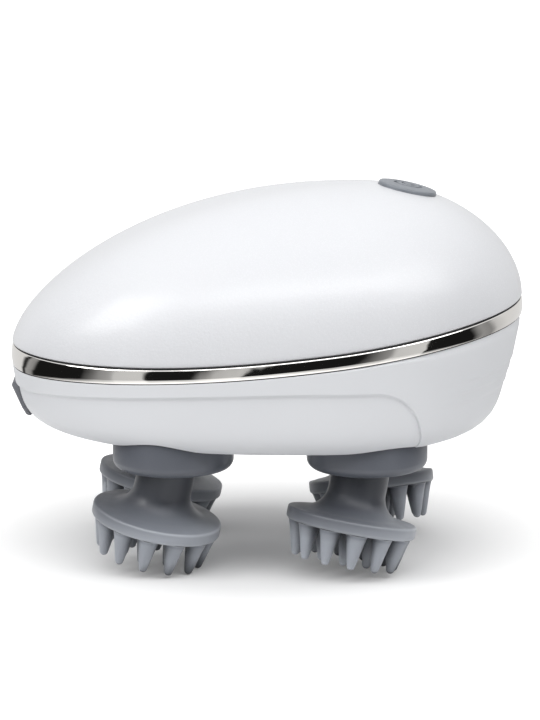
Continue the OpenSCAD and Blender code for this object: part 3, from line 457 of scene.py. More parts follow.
# the housing's surface, in millimetres: its outline in plan, the parting line that rises to the
# nose, the dome above it and the bowl below it; nose, tail and side are how full each curve is
housing = {"half": 61.0, "side": 44.5, "wideX": 14.0, "nose": 2.0, "tail": 2.48,
           "belly": 30.0, "crown": 89.4, "wall": 2.2,
           "lift": 24.1, "rise": (6.3, 3.4, -0.9), "band": 3.55, "bandTail": 1.8, "bandNose": 0.6}
dome = {"x": 22.5, "nose": 1.9, "tail": 1.5, "side": 2.4}
bowl = {"x": 8.0, "nose": 8.0, "tail": 5.2, "side": 8.2, "draft": (0.105, 0.035, 0.045)}
# the side panel under a crease that runs level and then turns down, and the grip steps at the nose
panel = {"low": 0.168, "rise": 0.0000577, "fromX": -22, "turnX": 24, "turnLength": 14,
         "steepFrom": 0.9, "deepest": 0.97, "inset": 0.6, "insetOver": 0.05,
         "step": 0.3, "stepWidth": 0.04, "stepAt": (0.38, 0.48, 0.58), "stepFrom": 39,
         "stepLength": 12}
# how finely the outline is measured, and where its points stand closer
outline = {"steps": 14400, "closer": 3.5, "closerX": 35, "closerLength": 5.5, "flankY": 20}


def power(value, exponent):
    return math.copysign(abs(value) ** exponent, value)


def planPoint(angle, inset=0.0):
    c, s = math.cos(angle), math.sin(angle)
    half, side, wide = housing["half"] - inset, housing["side"] - inset, housing["wideX"]
    if c >= 0:
        n = 2 / housing["nose"]
        return wide + (half - wide) * abs(c) ** n, side * power(s, n)
    n = 2 / housing["tail"]
    return wide - (half + wide) * abs(c) ** n, side * power(s, n)


def rimZ(x):
    u = x / housing["half"]
    a, b, c = housing["rise"]
    return housing["belly"] + housing["lift"] + a * u + b * u * u + c * u ** 3


def bandHeight(x):
    u = x / housing["half"]
    more = housing["bandTail"] * (-u) ** 3 if u < 0 else housing["bandNose"] * u ** 3
    return housing["band"] + more


def between(angle, nose, tail, flank):
    c = math.cos(angle) ** 2
    return (nose if math.cos(angle) >= 0 else tail) * c + flank * (1 - c)


def domePoint(angle, climb, inset=0.0):
    x, y = planPoint(angle, inset)
    z = rimZ(planPoint(angle)[0])
    r = math.cos(climb)
    h = math.sin(climb) ** (2 / between(angle, dome["nose"], dome["tail"], dome["side"]))
    return dome["x"] + r * (x - dome["x"]), r * y, z + h * (housing["crown"] - inset - z)


def bowlPoint(angle, h, inset=0.0):
    x, y = planPoint(angle, inset)
    x0 = planPoint(angle)[0]
    z = rimZ(x0) - bandHeight(x0)
    q = between(angle, bowl["nose"], bowl["tail"], bowl["side"])
    nose, tail, flank = bowl["draft"]
    r = (1 - between(angle, nose, tail, flank) * h) * max(0.0, 1 - h ** q) ** (1 / q)
    return bowl["x"] + r * (x - bowl["x"]), r * y, z - h * (z - housing["belly"] - inset)


def creaseShare(x):
    # level at first, then round a quarter turn that ends in a steep straight
    t = max(0.0, (x - panel["turnX"]) / panel["turnLength"])
    steep = panel["steepFrom"]
    side = math.sqrt(1 - min(t, steep) ** 2)
    turn = min(1.0, 1 - side + max(0.0, t - steep) * steep / side)
    low = panel["low"] + panel["rise"] * (min(x, panel["turnX"]) - panel["fromX"]) ** 2
    return low + (panel["deepest"] - low) * turn


def evenAngles(count):
    # angles whose outline points stand evenly, and closer where the side panel turns down
    steps = outline["steps"]
    points = [planPoint(2 * math.pi * k / steps) for k in range(steps + 1)]
    run = [0.0]
    for (x0, y0), (x1, y1) in zip(points, points[1:]):
        near = math.exp(-((x0 - outline["closerX"]) / outline["closerLength"]) ** 2)
        weight = 1 + outline["closer"] * near * (abs(y0) > outline["flankY"])
        run.append(run[-1] + weight * math.hypot(x1 - x0, y1 - y0))
    angles, k = [], 0
    for n in range(count):
        goal = run[-1] * n / count
        while run[k + 1] < goal:
            k += 1
        share = (goal - run[k]) / (run[k + 1] - run[k])
        angles.append(2 * math.pi * (k + share) / steps)
    return angles


def wrapped(name, columns, rows, spotOf, closed=False, bridge=None):
    # a flat grid, wrapped round the housing: spotOf(column, row) gives each corner in millimetres
    clearPick()
    bpy.ops.mesh.primitive_grid_add(x_subdivisions=columns, y_subdivisions=rows, size=1)
    piece = bpy.context.object
    piece.name = name
    rowOf = []
    for corner in piece.data.vertices:
        column = round((corner.co.x + 0.5) * columns) % columns
        row = round((corner.co.y + 0.5) * rows)
        corner.co = Vector(spotOf(column, row % rows if closed else row)) * mm
        rowOf.append(row)
    if bridge is None:
        tidyMesh(piece)
        return piece
    # the row of faces between the two middles is taken out, and the two rims are joined
    editNone(piece, "FACE")
    leaveEdit()
    for face in piece.data.polygons:
        face.select = {rowOf[corner] for corner in face.vertices} == {bridge, bridge + 1}
    bpy.ops.object.mode_set(mode="EDIT")
    bpy.ops.mesh.delete(type="FACE")
    leaveEdit()
    tidyMesh(piece)
    editNone(piece, "EDGE")
    bpy.ops.mesh.select_non_manifold()
    bpy.ops.mesh.bridge_edge_loops()
    leaveEdit()
    tidyMesh(piece)
    return piece


def ease(t):
    t = min(1.0, max(0.0, t))
    return t * t * (3 - 2 * t)


# face: (radius, how far the top is sunk there), with the ring groove round the sign;
# hole: (beyond the cap, height) of its hole in the shell
button = {"x": 33.5, "radius": 7.0, "edge": 0.5, "crown": 0.4, "round": 0.45,
          "flange": 8.2, "collar": -3.4, "collarGap": 0.05, "collarFoot": 1, "underside": 5.0,
          "face": ((6.1, 0), (5.4, 0), (4.7, 0), (4.1, 0), (3.62, 0), (3.5, 0.05), (3.42, 0.38),
                   (3.1, 0.46), (2.84, 0.38), (2.74, 0.05), (2.6, 0), (2.2, 0), (1.2, 0), (0.2, 0)),
          "sign": 1.7, "signInner": 1.2, "signDepth": 0.3, "signGap": 0.62,
          "barFrom": 0.5, "barTo": 2.0, "barHalf": 0.26,
          "post": 1.5, "postFoot": 2.6, "postTop": 0.9,
          "hole": ((0.1, -9), (0.1, -0.25), (0.14, -0.12), (0.3, 0.02), (0.75, 0.4), (2, 1.4))}
# bed and slot: (length, width, foot, top) of the wall's thick place behind the cover and of the
# opening through it; the pocket is the cover's own shape and a little more
port = {"x": -58.7, "z": 38.1, "tilt": -114, "width": 13.0, "height": 9.2, "thick": 1.8, "up": 0.8,
        "corner": 1.6, "hingeFlat": 0.02, "soft": 0.28, "softFrom": 50,
        "groove": 2.2, "grooveHalf": 3.4, "grooveUp": 1.95, "lip": (2.4, 8), "lipDepth": 1.2,
        "bed": (9.6, 16, -3.6, 0.4), "slot": (4, 10.4, -9, 0),
        "pocketGap": 0.15, "pocketUnder": 0.1}


def domeTop(share):
    low = rimZ(housing["half"])
    return low + (1 - share * share) ** (1 / dome["nose"]) * (housing["crown"] - low)


def buttonSpot():
    reach = housing["half"] - dome["x"]
    u = (button["x"] - dome["x"]) / reach
    tilt = math.atan((domeTop(u - 0.05) - domeTop(u + 0.05)) / (0.1 * reach))
    return (Matrix.Translation(Vector((button["x"], 0, domeTop(u))) * mm)
            @ Matrix.Rotation(tilt, 4, "Y"))


def portSpot():
    return (Matrix.Translation(Vector((port["x"], 0, port["z"])) * mm)
            @ Matrix.Rotation(math.radians(port["tilt"]), 4, "Y"))


# edge: (degrees up the dome, inset) of the shell's rounded rim; the rows on to the crown follow
upper = {"columns": 264, "edge": ((0.0, 0.42), (0.25, 0.17), (0.6, 0.05), (1.1, 0.0)),
         "climbs": 46, "climbPower": 1.15}


def addUpperShell():
    angles = evenAngles(upper["columns"])
    first, climbs = upper["edge"][-1][0], upper["climbs"]
    rows = list(upper["edge"])
    rows += [(first + (90 - first) * ((k + 1) / climbs) ** upper["climbPower"], 0)
             for k in range(climbs)]

    def spot(column, row):
        climb, inset = rows[row]
        return domePoint(angles[column], math.radians(climb), inset)

    piece = wrapped("pearl_upper_shell", upper["columns"], len(rows) - 1, spot)
    wall = piece.modifiers.new("wall", "SOLIDIFY")
    wall.thickness = housing["wall"] * mm
    wall.offset = -1
    applyAll(piece)
    hole = turned("hole", [(button["radius"] + out, up) for out, up in button["hole"]], 128)
    place(hole, buttonSpot())
    carve(piece, hole)
    smooth(piece, 28)
    dress(piece, "upper_shell", "housing")


addUpperShell()
print("upper shell done")


lower = {"columns": 330, "calmLast": 0.1, "footIn": 0.3, "fillTop": 75, "deck": 38.3,
         "wellRadius": 14.7, "wellWall": 1.5, "wellTop": 36.3, "wellFrom": 5, "bushRadius": 4.5,
         "postRadius": 3.0, "pilot": 1.3, "pilotDepth": 4.5,
         "recess": 2.8, "recessFrom": 2, "recessTop": 5, "screwHole": 1.6, "screwReach": 25,
         "sleeveWall": 1.2, "sleeveStep": 6.5, "sleeveUnder": 4,
         "caseScrews": ((0.75, 30.5), (0.75, -30.5), (-41.97, 15), (-41.97, -15), (43.28, 16),
                        (43.28, -16))}
# rows down the outside as shares of the depth to the crease: (share, inset) at the rim, then plain,
# then round each grip step, then on to the crease; below it as shares of the rest, and last as
# shares of the outline on the flat belly; the inner face runs from its middle up to the rim
lowerRows = {"rim": ((0.0, 0.42), (0.045, 0.30), (0.065, 0.12), (0.085, 0.03), (0.11, 0.0)),
             "plain": (0.15, 0.19, 0.23, 0.27, 0.31),
             "step": (-0.032, -0.022, -0.014, -0.007, 0.0, 0.007, 0.014, 0.022, 0.034, 0.05),
             "crease": (0.66, 0.72, 0.78, 0.84, 0.9, 0.94, 0.97, 0.985, 1.0),
             "below": (0.008, 0.016, 0.026, 0.038, 0.055, 0.08, 0.12, 0.17, 0.23, 0.29, 0.35, 0.41,
                       0.47, 0.53, 0.59, 0.64, 0.69, 0.735, 0.775, 0.81, 0.84, 0.867, 0.89, 0.91,
                       0.928, 0.943, 0.956, 0.967, 0.976, 0.984),
             "belly": (0.5, 0.4, 0.3, 0.2, 0.1, 0.0),
             "innerBelly": (0.0, 0.15, 0.3, 0.46),
             "inner": (0.98, 0.96, 0.93, 0.89, 0.84, 0.78, 0.7, 0.6, 0.48, 0.36, 0.24, 0.12, 0.0)}
# where the four heads stand, how far each axle leans and to which side, and each head's own turn
heads = {"dx": 22.8, "dy": 22.254755, "midX": 0.75, "lean": (160, 213, 180, -60),
         "spin": (15, -2.5, 0, 0), "tilt": 12.5, "pivot": 32.004600,
         "plateScrews": ((-33, 5), (-33, -5), (33, 5), (33, -5), (-15.5, 0))}
headSpots = [(heads["midX"] + i * heads["dx"], j * heads["dy"]) for j in (-1, 1) for i in (-1, 1)]
plateScrews = [(heads["midX"] + x, y) for x, y in heads["plateScrews"]]


def bowlRows():
    # (share of the crease depth, share of the rest, edge inset)
    rows = [(f, 0, inset) for f, inset in lowerRows["rim"]]
    rows += [(f, 0, 0) for f in lowerRows["plain"]]
    rows += [(at + d, 0, 0) for at in panel["stepAt"] for d in lowerRows["step"]]
    rows += [(f, 0, 0) for f in lowerRows["crease"]]
    return rows + [(1, g, 0) for g in lowerRows["below"]]


def sideInset(x, f, g):
    # grip steps down the nose, then the panel below the crease
    fade = ease((x - panel["stepFrom"]) / panel["stepLength"])
    width = panel["stepWidth"]
    steps = sum(ease((f - at + width / 2) / width) for at in panel["stepAt"])
    return steps * panel["step"] * fade + panel["inset"] * ease(g / panel["insetOver"])


def sideSpot(angle, f, g, edge):
    x0 = planPoint(angle)[0]
    crease = creaseShare(x0)
    h = crease * f if g == 0 else crease + (1 - crease) * g
    x, y, z = bowlPoint(angle, h)
    calm = min(1.0, (1 - h) / lower["calmLast"])      # steps and panel die away near the belly
    inset = sideInset(x0, f, g) * calm + edge
    return (bowl["x"] + (x - bowl["x"]) * (1 - inset / housing["half"]),
            y * (1 - inset / housing["side"]), z)


def bellySpot(angle, share, height):
    x, y = planPoint(angle)
    return bowl["x"] + share * (x - bowl["x"]), share * y, height


def drawUp(piece):
    # the filled copy: closed far above the rim and shrunk into the wall, it trims what stands inside
    top, half = lower["fillTop"], housing["wall"] / 2
    editNone(piece, "EDGE")
    bpy.ops.mesh.select_non_manifold()
    bpy.ops.mesh.extrude_region_move(TRANSFORM_OT_translate={"value": (0, 0, top * mm)})
    leaveEdit()
    for corner in piece.data.vertices:
        if corner.select:
            corner.co.z = top * mm
    bpy.ops.object.mode_set(mode="EDIT")
    bpy.ops.mesh.edge_face_add()
    leaveEdit()
    tidyMesh(piece)
    for corner in piece.data.vertices:
        x, y, z = corner.co / mm
        corner.co = Vector((bowl["x"] + (x - bowl["x"]) * (1 - half / housing["half"]),
                            y * (1 - half / housing["side"]),
                            z + half * (top - z) / (top - housing["belly"]))) * mm


def insideParts():
    # drum wells, screw posts, screw sleeves and the bed of the port cover
    base, deck, foot = housing["belly"], lower["deck"], housing["belly"] + lower["footIn"]
    outer, post = lower["wellRadius"] + lower["wellWall"], lower["postRadius"]
    wide, step = lower["recess"] + lower["sleeveWall"], base + lower["sleeveStep"]
    parts = [rod("well", outer, foot, deck, p) for p in headSpots]
    parts += [rod("post", post, foot, deck, p, 48) for p in plateScrews]
    sleeve = [(wide, foot), (wide, step), (post, step),
              (post, rimZ(heads["midX"]) - lower["sleeveUnder"])]
    parts += [movedTo(turned("sleeve", sleeve, 48), p) for p in lower["caseScrews"]]
    bed = slab("bed", *port["bed"])
    place(bed, portSpot())
    return joined(parts + [bed])


def bellyCuts():
    # what is cut from below, and the pocket of the port cover
    base, deck, over = housing["belly"], lower["deck"], lower["deck"] + 1
    wide, narrow, top = lower["wellRadius"], lower["bushRadius"], lower["wellTop"]
    well = [(wide, base - lower["wellFrom"]), (wide, top), (narrow, top), (narrow, over)]
    cuts = [movedTo(turned("well", well, 128), p) for p in headSpots]
    step = base + lower["recessTop"]
    recess = [(lower["recess"], base - lower["recessFrom"]), (lower["recess"], step),
              (lower["screwHole"], step), (lower["screwHole"], base + lower["screwReach"])]
    cuts += [movedTo(turned("recess", recess, 48), p) for p in lower["caseScrews"]]
    cuts += [rod("pilot", lower["pilot"], deck - lower["pilotDepth"], over, p, 32)
             for p in plateScrews]
    room = 2 * port["pocketGap"]
    pocket = slab("pocket", port["height"] + room, port["width"] + room,
                  port["up"] - port["thick"] - port["pocketUnder"], 5)
    place(pocket, portSpot())
    return joined(cuts + [pocket])


def addLowerShell():
    angles = evenAngles(lower["columns"])
    sides, belly = bowlRows(), lowerRows["belly"]
    middle, inner = lowerRows["innerBelly"], lowerRows["inner"]
    outside = len(sides) + len(belly)

    def spot(column, row):
        if row < len(sides):
            return sideSpot(angles[column], *sides[row])
        return bellySpot(angles[column], belly[row - len(sides)], housing["belly"])

    def skin(column, row):
        # down the outside, then the inner face from its middle back up to the rim
        if row < outside:
            return spot(column, row)
        back = row - outside
        if back < len(middle):
            return bellySpot(angles[column], middle[back], housing["belly"] + housing["wall"])
        return bowlPoint(angles[column], inner[back - len(middle)], housing["wall"])

    filled = wrapped("filled", lower["columns"], outside - 1, spot)
    piece = wrapped("satin_lower_shell", lower["columns"], outside + len(middle) + len(inner) - 1,
                    skin, bridge=outside - 1)
    drawUp(filled)
    parts = insideParts()
    carve(parts, filled, "INTERSECT")
    carve(piece, parts, "UNION")
    carve(piece, bellyCuts())
    slot = slab("slot", *port["slot"])
    place(slot, portSpot())
    carve(piece, slot)
    smooth(piece, 28)
    dress(piece, "lower_shell", "housing")


addLowerShell()
print("lower shell done")


# (inset, share of the band height): the foot looks down at the floor, the middle leans back and
# the top edge turns over to the ceiling
ring = {"columns": 360, "seam": 0.3,
        "face": ((0.6, 0.0), (0.25, 0.006), (0.03, 0.02), (0.0, 0.04), (-0.083, 0.15),
                 (-0.162, 0.26), (-0.182, 0.30), (-0.19, 0.36), (-0.18, 0.48), (-0.155, 0.60),
                 (-0.11, 0.72), (-0.06, 0.82), (-0.025, 0.875), (0.0, 0.90), (0.05, 0.935),
                 (0.12, 0.965), (0.22, 0.985), (0.45, 1.0)),
        "back": ((1.3, 1.0), (1.3, 0.5), (1.3, 0.0))}
# (inset, drop) of the rubber cord below the rim, with the dark lip that shows between ring and
# dome, and of the thin lip under the ring's foot
cord = {"columns": 240,
        "section": ((0.18, 0.27), (0.14, 0.15), (0.18, 0.03), (1.3, 0.03), (2.2, 0.03),
                    (2.2, 0.76), (1.3, 0.76), (1.3, 0.27)),
        "foot": ((0.22, 0.02), (0.16, 0.09), (0.22, 0.2), (1.2, 0.2), (1.2, 0.02))}


def addTrimRing():
    angles = evenAngles(ring["columns"])
    rows = ring["face"] + ring["back"]

    def spot(column, row):
        inset, share = rows[row]
        x, y = planPoint(angles[column], inset)
        x0 = planPoint(angles[column])[0]
        return x, y, rimZ(x0) - ring["seam"] - (bandHeight(x0) - ring["seam"]) * (1 - share)

    piece = wrapped("bright_trim_ring", ring["columns"], len(rows), spot, closed=True)
    smooth(piece, 50)
    dress(piece, "trim_ring", "housing")


def addSealCord():
    angles = evenAngles(cord["columns"])

    def loop(section, below):
        def spot(column, row):
            inset, down = section[row]
            x, y = planPoint(angles[column], inset)
            x0 = planPoint(angles[column])[0]
            return x, y, rimZ(x0) - below * bandHeight(x0) - down
        return wrapped("seal_cord", cord["columns"], len(section), spot, closed=True)

    piece = joined([loop(cord["section"], 0), loop(cord["foot"], 1)])
    smooth(piece, 40)
    dress(piece, "shell_gasket", "housing")


addTrimRing()
addSealCord()
print("trim ring and cord done")


def addButton():
    r, edge, soft, collar = button["radius"], button["edge"], button["round"], button["collar"]

    def top(radius):
        return edge + button["crown"] * (1 - (radius / r) ** 2)

    foot, rest = collar - button["collarFoot"], collar - button["collarGap"]
    profile = [(button["underside"], foot), (button["flange"], foot), (button["flange"], rest),
               (r, rest), (r, edge - soft)]
    profile += arc((r - soft, edge - soft), soft, 10, 80, 7)
    profile += [(radius, top(radius) - sunk) for radius, sunk in button["face"]]
    piece = turned("power_button_cap", profile, 128)
    # the usual on and off sign: an open circle with a bar
    start, gap, half = button["barFrom"], button["signGap"], button["barHalf"]
    floor = top(0) - button["signDepth"]
    loop = rod("loop", button["sign"], floor, 2, corners=64)
    carve(loop, rod("hollow", button["signInner"], -2, 4, corners=64))
    carve(loop, block("mouth", (start, -gap, -3), (3, gap, 4)))
    carve(piece, loop)
    carve(piece, block("bar", (start, -half, floor), (button["barTo"], half, 2)))
    post = rod("post", button["post"], collar - button["postFoot"], collar - button["postTop"],
               corners=48)
    carve(piece, post, "UNION")
    place(piece, buttonSpot())
    smooth(piece, 32)
    dress(piece, "power_button", "button")


addButton()
print("button done")


def bevelEdges(piece, offset, wanted):
    # wanted says by an edge's two ends whether it is rounded
    for edge in piece.data.edges:
        a, b = (piece.data.vertices[v].co for v in edge.vertices)
        edge.select = wanted(a, b)
    bpy.ops.object.mode_set(mode="EDIT")
    bpy.ops.mesh.bevel(offset=offset * mm, segments=8, profile=0.5)
    leaveEdit()


def addPortCover():
    w, h, t, up = port["width"], port["height"], port["thick"], port["up"]
    piece = slab("port_cover", h, w, up - t, up)
    editNone(piece, "EDGE")
    leaveEdit()
    # the corners of the free edge first, then the hinge edge, which is rounded over
    bevelEdges(piece, port["corner"], lambda a, b: abs(a.z - b.z) > t / 2 * mm and a.x < 0)
    bevelEdges(piece, t / 2 - port["hingeFlat"],
               lambda a, b: min(a.x, b.x) > (h / 2 - 0.01) * mm and abs(a.y - b.y) > w / 3 * mm)
    soft = piece.modifiers.new("soft", "BEVEL")
    soft.width = port["soft"] * mm
    soft.segments = 3
    soft.limit_method = "ANGLE"
    soft.angle_limit = math.radians(port["softFrom"])
    applyAll(piece)
    # a shallow thumb groove near the free edge and the lip that presses into the socket
    groove = rod("groove", port["groove"], -port["grooveHalf"], port["grooveHalf"], corners=48)
    spot = Vector((-h / 2 + port["groove"], 0, up + port["grooveUp"])) * mm
    place(groove, Matrix.Translation(spot) @ Matrix.Rotation(math.pi / 2, 4, "X"))
    carve(piece, groove)
    carve(piece, slab("lip", *port["lip"], up - t - port["lipDepth"], up - t + 0.1), "UNION")
    place(piece, portSpot())
    smooth(piece, 35)
    dress(piece, "port_plug", "port_cover")


addPortCover()
print("port cover done")


# edge: (in from the side, down from the top) round the upper edge, which stands inside the well
drum = {"radius": 14.25, "low": 25.0, "high": 35.6, "edge": ((0.5, 0), (0.15, 0.15), (0, 0.5)),
        "round": 2.4, "flatIn": 0.6, "rings": (8.2, 4), "neck": 7.25, "neckFrom": 5.775,
        "axle": 2.0, "axleFrom": 1.975, "holeLength": 12, "shaft": 2.5, "shaftFoot": 31.0}


def tilted(spot, turn=0):
    # a head's own frame: its origin at the pivot, its axis down and leaning over
    return (Matrix.Translation(Vector((*spot, heads["pivot"])) * mm)
            @ Matrix.Rotation(math.radians(turn), 4, "Z")
            @ Matrix.Rotation(math.radians(180 - heads["tilt"]), 4, "Y"))


def addDrums():
    r, low, high, e = drum["radius"], drum["low"], drum["high"], drum["round"]
    profile = [(r - a, high - b) for a, b in drum["edge"]] + [(r, low + e + 1)]
    profile += arc((r - e, low + e), e, 0, -86, 14)
    profile += [(r - e - drum["flatIn"], low)] + [(ring, low) for ring in drum["rings"]]
    first = turned("turret_drum", profile, 128)
    for name in ("neck", "axle"):
        start = drum[name + "From"]
        hole = rod(name, drum[name], start, start + drum["holeLength"])
        place(hole, tilted((0, 0)))
        carve(first, hole)
    carve(first, rod("shaft", drum["shaft"], drum["shaftFoot"], high + 5, corners=48))
    smooth(first, 40)
    for i, lean in enumerate(heads["lean"]):
        piece = copyOf(first, f"turret_drum_{i + 1}")
        place(piece, Matrix.Translation(Vector((*headSpots[i], 0)) * mm)
              @ Matrix.Rotation(math.radians(lean), 4, "Z"))
        dress(piece, f"drum_{i + 1}", f"turret_{i + 1}")
    drop(first)


addDrums()
print("drums done")


# the heads are drawn along their own axis with the tines pointing up; rim and underRim are drawn
# from the disc's edge, tineFoot from the tine's radius, and tineRows are (count, radius, turn)
massage = {"hubTop": 6.075, "hub": 4.6, "hubFoot": 8.5, "hubFlange": (0.5, 1), "axleFoot": 3.9,
           "axleRoom": 1.8, "neck": 6.85, "neckEdge": 0.3, "neckRing": 3, "flare": 5.4,
           "flareUnder": 0.5, "flareTurns": (6, 13, 21, 29, 37, 45, 53, 61, 69, 77, 83),
           "flareEnd": (0.9, 0.3), "disc": 15.4, "discTop": 18.65, "discUnder": 21.65,
           "rim": ((-1.2, -0.07), (-0.62, 0), (-0.34, 0.05), (-0.12, 0.18), (-0.02, 0.4), (0, 0.7)),
           "underRim": ((0, -0.75), (-0.05, -0.42), (-0.2, -0.16), (-0.45, 0), (-0.9, 0)),
           "underRings": (9, 4), "tine": 2.5, "tineLength": 8.5, "tip": 1.0, "tipLess": 0.05,
           "tineFoot": ((-0.1, -0.5), (0.26, 0.0), (0.08, 0.16), (-0.02, 0.5), (-0.16, 1.1)),
           "tineRings": (2.0, 3.4, 4.8, 6.0),
           "tineRows": ((12, 12.2, 0), (6, 6.588, 10), (1, 0, 0)), "tineLean": 3}


def tineShape():
    base, tip = massage["tine"], massage["tip"]
    shaft = massage["tineLength"] - tip
    slope = (base - tip - massage["tipLess"]) / shaft
    profile = [(base + out, up) for out, up in massage["tineFoot"]]
    profile += [(base - slope * s, s) for s in massage["tineRings"]]
    profile += arc((0, shaft), tip, 6, 82, 8)
    return turned("tine", profile, 32)


def headProfile():
    # from the bore of the hub out over the neck and the disc to the face that carries the tines
    m = massage
    top, under, r, f = m["discTop"], m["discUnder"], m["disc"], m["flare"]
    neck, hubTop = m["neck"], m["hubTop"]
    flangeTop, flangeFoot = top - m["hubFlange"][1], top + m["hubFlange"][0]
    profile = [(m["axleFoot"], top + m["axleRoom"]), (m["axleFoot"], flangeFoot),
               (m["hubFoot"], flangeFoot), (m["hubFoot"], flangeTop), (m["hub"], flangeTop),
               (m["hub"], hubTop), (neck - m["neckEdge"], hubTop), (neck, hubTop + m["neckEdge"]),
               (neck, hubTop + m["neckRing"])]
    start = top - m["flareUnder"] - f
    profile += [(neck, start)]
    profile += [(neck + f - f * math.cos(math.radians(a)), start + f * math.sin(math.radians(a)))
                for a in m["flareTurns"]]
    profile += [(neck + f + m["flareEnd"][0], top - m["flareEnd"][1])]
    profile += [(r + out, top + up) for out, up in m["rim"]]
    profile += [(r + out, under + up) for out, up in m["underRim"]]
    return profile + [(ring, under) for ring in m["underRings"]]


def addHeads():
    first = turned("massage_head", headProfile(), 128)
    tine = tineShape()
    tines = []
    for count, radius, offset in massage["tineRows"]:
        lean = -massage["tineLean"] if radius else 0
        for k in range(count):
            one = copyOf(tine, "tine")
            place(one, Matrix.Rotation(math.radians(360 * k / count + offset), 4, "Z")
                  @ Matrix.Translation(Vector((radius, 0, massage["discUnder"])) * mm)
                  @ Matrix.Rotation(math.radians(lean), 4, "Y"))
            tines.append(one)
    drop(tine)
    carve(first, joined(tines), "UNION")
    smooth(first, 40)
    for i, spot in enumerate(headSpots):
        piece = copyOf(first, f"silicone_head_{i + 1}")
        place(piece, tilted(spot, heads["lean"][i])
              @ Matrix.Rotation(math.radians(heads["spin"][i]), 4, "Z"))
        dress(piece, f"massage_head_{i + 1}", f"head_{i + 1}")
    drop(first)


addHeads()
print("heads done")


# floorLift is the floor's glow near the massager and further out, floorFar the distances between
# which it grows, and floorShine those between which polished metal stops seeing the floor; sky and
# ceiling are (height, brightness), roomTones (degrees from straight in front, brightness), and a
# lamp is its name, place, width and height, and power
studio = {"floor": 14, "floorColour": (0.74, 0.74, 0.74), "floorRough": 0.9,
          "floorLift": (0.14, 0.62), "floorFar": (0.04, 0.1), "floorShine": (0.095, 0.15),
          "sky": [(0.0, 0.0), (0.74, 0.0), (0.78, 0.88), (1.0, 0.88)],
          "ceiling": [(0.0, 0), (0.68, 0), (0.74, 1), (1.0, 1)], "ceilingTint": (0.95, 0.96, 0.98),
          "roomTones": [(-180, 0.8), (-122, 0.75), (-118, 0.03), (-115, 0.03), (-112, 0.36),
                        (-105, 0.28), (-101, 0.01), (-63, 0.01), (-56, 0.2), (-48, 0.42),
                        (-47, 0.6), (-36.5, 0.66), (-35.5, 0.01), (-21, 0.01), (-17, 0.5),
                        (-10, 0.62), (-9, 0.01), (18, 0.01), (34, 0.3), (37, 0.62), (55, 0.66),
                        (56, 0.01), (86, 0.01), (95, 0.32), (103, 0.26), (108, 0.6), (120, 0.75),
                        (180, 0.8)],
          "lamps": (("keyLamp", (0.08, -0.7, 0.87), (1.15, 0.34), 4.0),
                    ("leftLamp", (-0.9, -0.45, 0.75), (0.6, 0.6), 5.3),
                    ("rightLamp", (0.8, -0.42, 0.85), (0.7, 0.7), 3.4)),
          "lampTarget": (0, 0, 0.06)}


def wire(tree, operation, a, b=None):
    # one step of arithmetic between two sockets or numbers
    node = addNode(tree, "ShaderNodeMath", operation=operation)
    for socket, value in zip(node.inputs, (a, b)):
        if isinstance(value, bpy.types.NodeSocket):
            tree.links.new(value, socket)
        elif value is not None:
            socket.default_value = value
    return node.outputs[0]


def ramp(tree, value, stops):
    node = addNode(tree, "ShaderNodeValToRGB")
    band = node.color_ramp
    while len(band.elements) < len(stops):
        band.elements.new(0.5)
    for element, (at, tone) in zip(band.elements, stops):
        element.position = at
        element.color = (tone, tone, tone, 1)
    tree.links.new(value, node.inputs["Fac"])
    return node.outputs["Color"]


def roomTone(tree, x, y):
    # what polished metal sees round the room: dark in front, with bright panels, pale behind
    angle = wire(tree, "ARCTAN2", x, wire(tree, "MULTIPLY", y, -1.0))
    turn = wire(tree, "ADD", wire(tree, "DIVIDE", angle, 2 * math.pi), 0.5)
    return ramp(tree, turn, [(at / 360 + 0.5, tone) for at, tone in studio["roomTones"]])


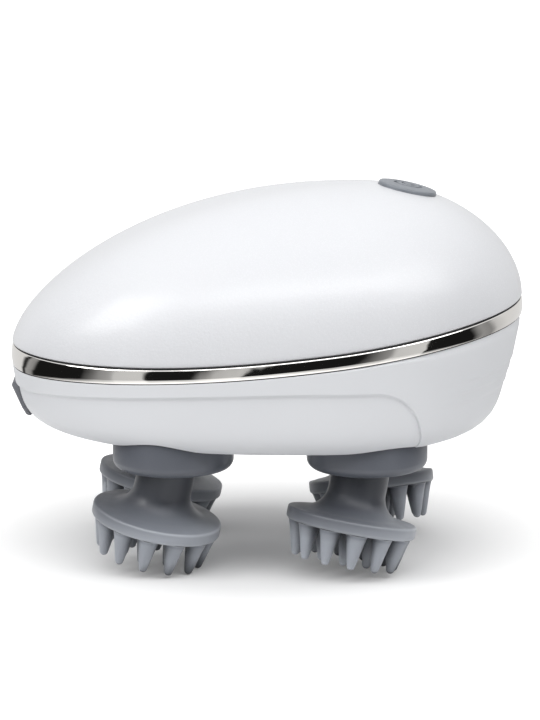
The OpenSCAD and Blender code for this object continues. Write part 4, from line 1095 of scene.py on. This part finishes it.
def addFloor():
    # pale to the camera with the massager's shadow on it, deepened by a weaker glow round the
    # massager that is painted shade; in polished metal it is bright near the massager and part of
    # the room further out
    clearPick()
    bpy.ops.mesh.primitive_plane_add(size=studio["floor"])
    floor = bpy.context.object
    floor.name = "floor"
    material, tree, shader, coords = newMaterial("paleFloor")
    shader.inputs["Base Color"].default_value = (*studio["floorColour"], 1)
    shader.inputs["Roughness"].default_value = studio["floorRough"]
    shader.inputs["Specular IOR Level"].default_value = 0.0
    path = addNode(tree, "ShaderNodeLightPath").outputs
    seen = wire(tree, "MAXIMUM", path["Is Camera Ray"], path["Is Glossy Ray"])
    seen = wire(tree, "MAXIMUM", seen, path["Is Transmission Ray"])
    spot = addNode(tree, "ShaderNodeSeparateXYZ")
    tree.links.new(coords, spot.inputs[0])
    reach = addNode(tree, "ShaderNodeVectorMath", operation="LENGTH")
    tree.links.new(coords, reach.inputs[0])
    # painted shade: the glow is weakest near the massager, so the floor there goes darker
    lift = spread(tree, reach.outputs["Value"], *studio["floorLift"], *studio["floorFar"])
    glow = addNode(tree, "ShaderNodeEmission")
    tree.links.new(wire(tree, "MULTIPLY", seen, lift), glow.inputs["Strength"])
    near = addNode(tree, "ShaderNodeAddShader")
    tree.links.new(shader.outputs[0], near.inputs[0])
    tree.links.new(glow.outputs[0], near.inputs[1])
    far = spread(tree, reach.outputs["Value"], 0, 1, *studio["floorShine"])
    room = addNode(tree, "ShaderNodeEmission")
    tree.links.new(roomTone(tree, spot.outputs["X"], spot.outputs["Y"]), room.inputs["Color"])
    both = addNode(tree, "ShaderNodeMixShader")
    tree.links.new(wire(tree, "MULTIPLY", far, path["Is Glossy Ray"]), both.inputs[0])
    tree.links.new(near.outputs[0], both.inputs[1])
    tree.links.new(room.outputs[0], both.inputs[2])
    tree.links.new(both.outputs[0], tree.nodes["Material Output"].inputs["Surface"])
    floor.data.materials.append(material)


def addWorld():
    # soft light from above; the camera sees white, and polished metal sees the room and a bright
    # ceiling
    world = bpy.data.worlds.new("studio")
    scene.world = world
    world.use_nodes = True
    tree = world.node_tree
    look = addNode(tree, "ShaderNodeSeparateXYZ")
    tree.links.new(addNode(tree, "ShaderNodeTexCoord").outputs["Generated"], look.inputs[0])
    path = addNode(tree, "ShaderNodeLightPath").outputs
    height = wire(tree, "ADD", wire(tree, "MULTIPLY", look.outputs["Z"], 0.5), 0.5)
    room = roomTone(tree, look.outputs["X"], look.outputs["Y"])
    shine = mixColours(tree, ramp(tree, height, studio["ceiling"]), room, studio["ceilingTint"])
    tone = mixColours(tree, path["Is Glossy Ray"], ramp(tree, height, studio["sky"]), shine)
    seen = wire(tree, "MAXIMUM", path["Is Camera Ray"], path["Is Transmission Ray"])
    white = (1, 1, 1)
    tree.links.new(mixColours(tree, seen, tone, white), tree.nodes["Background"].inputs["Color"])


def addLamp(name, spot, size, energy):
    bpy.ops.object.light_add(type="AREA", location=spot)
    lamp = bpy.context.object
    lamp.name = name
    towards = Vector(studio["lampTarget"]) - Vector(spot)
    lamp.rotation_euler = towards.to_track_quat("-Z", "Y").to_euler()
    lamp.data.shape = "RECTANGLE"
    lamp.data.size, lamp.data.size_y = size
    lamp.data.energy = energy


addFloor()
addWorld()
clearPick()
for values in studio["lamps"]:
    addLamp(*values)
scene.view_settings.view_transform = "Standard"
print("studio done")
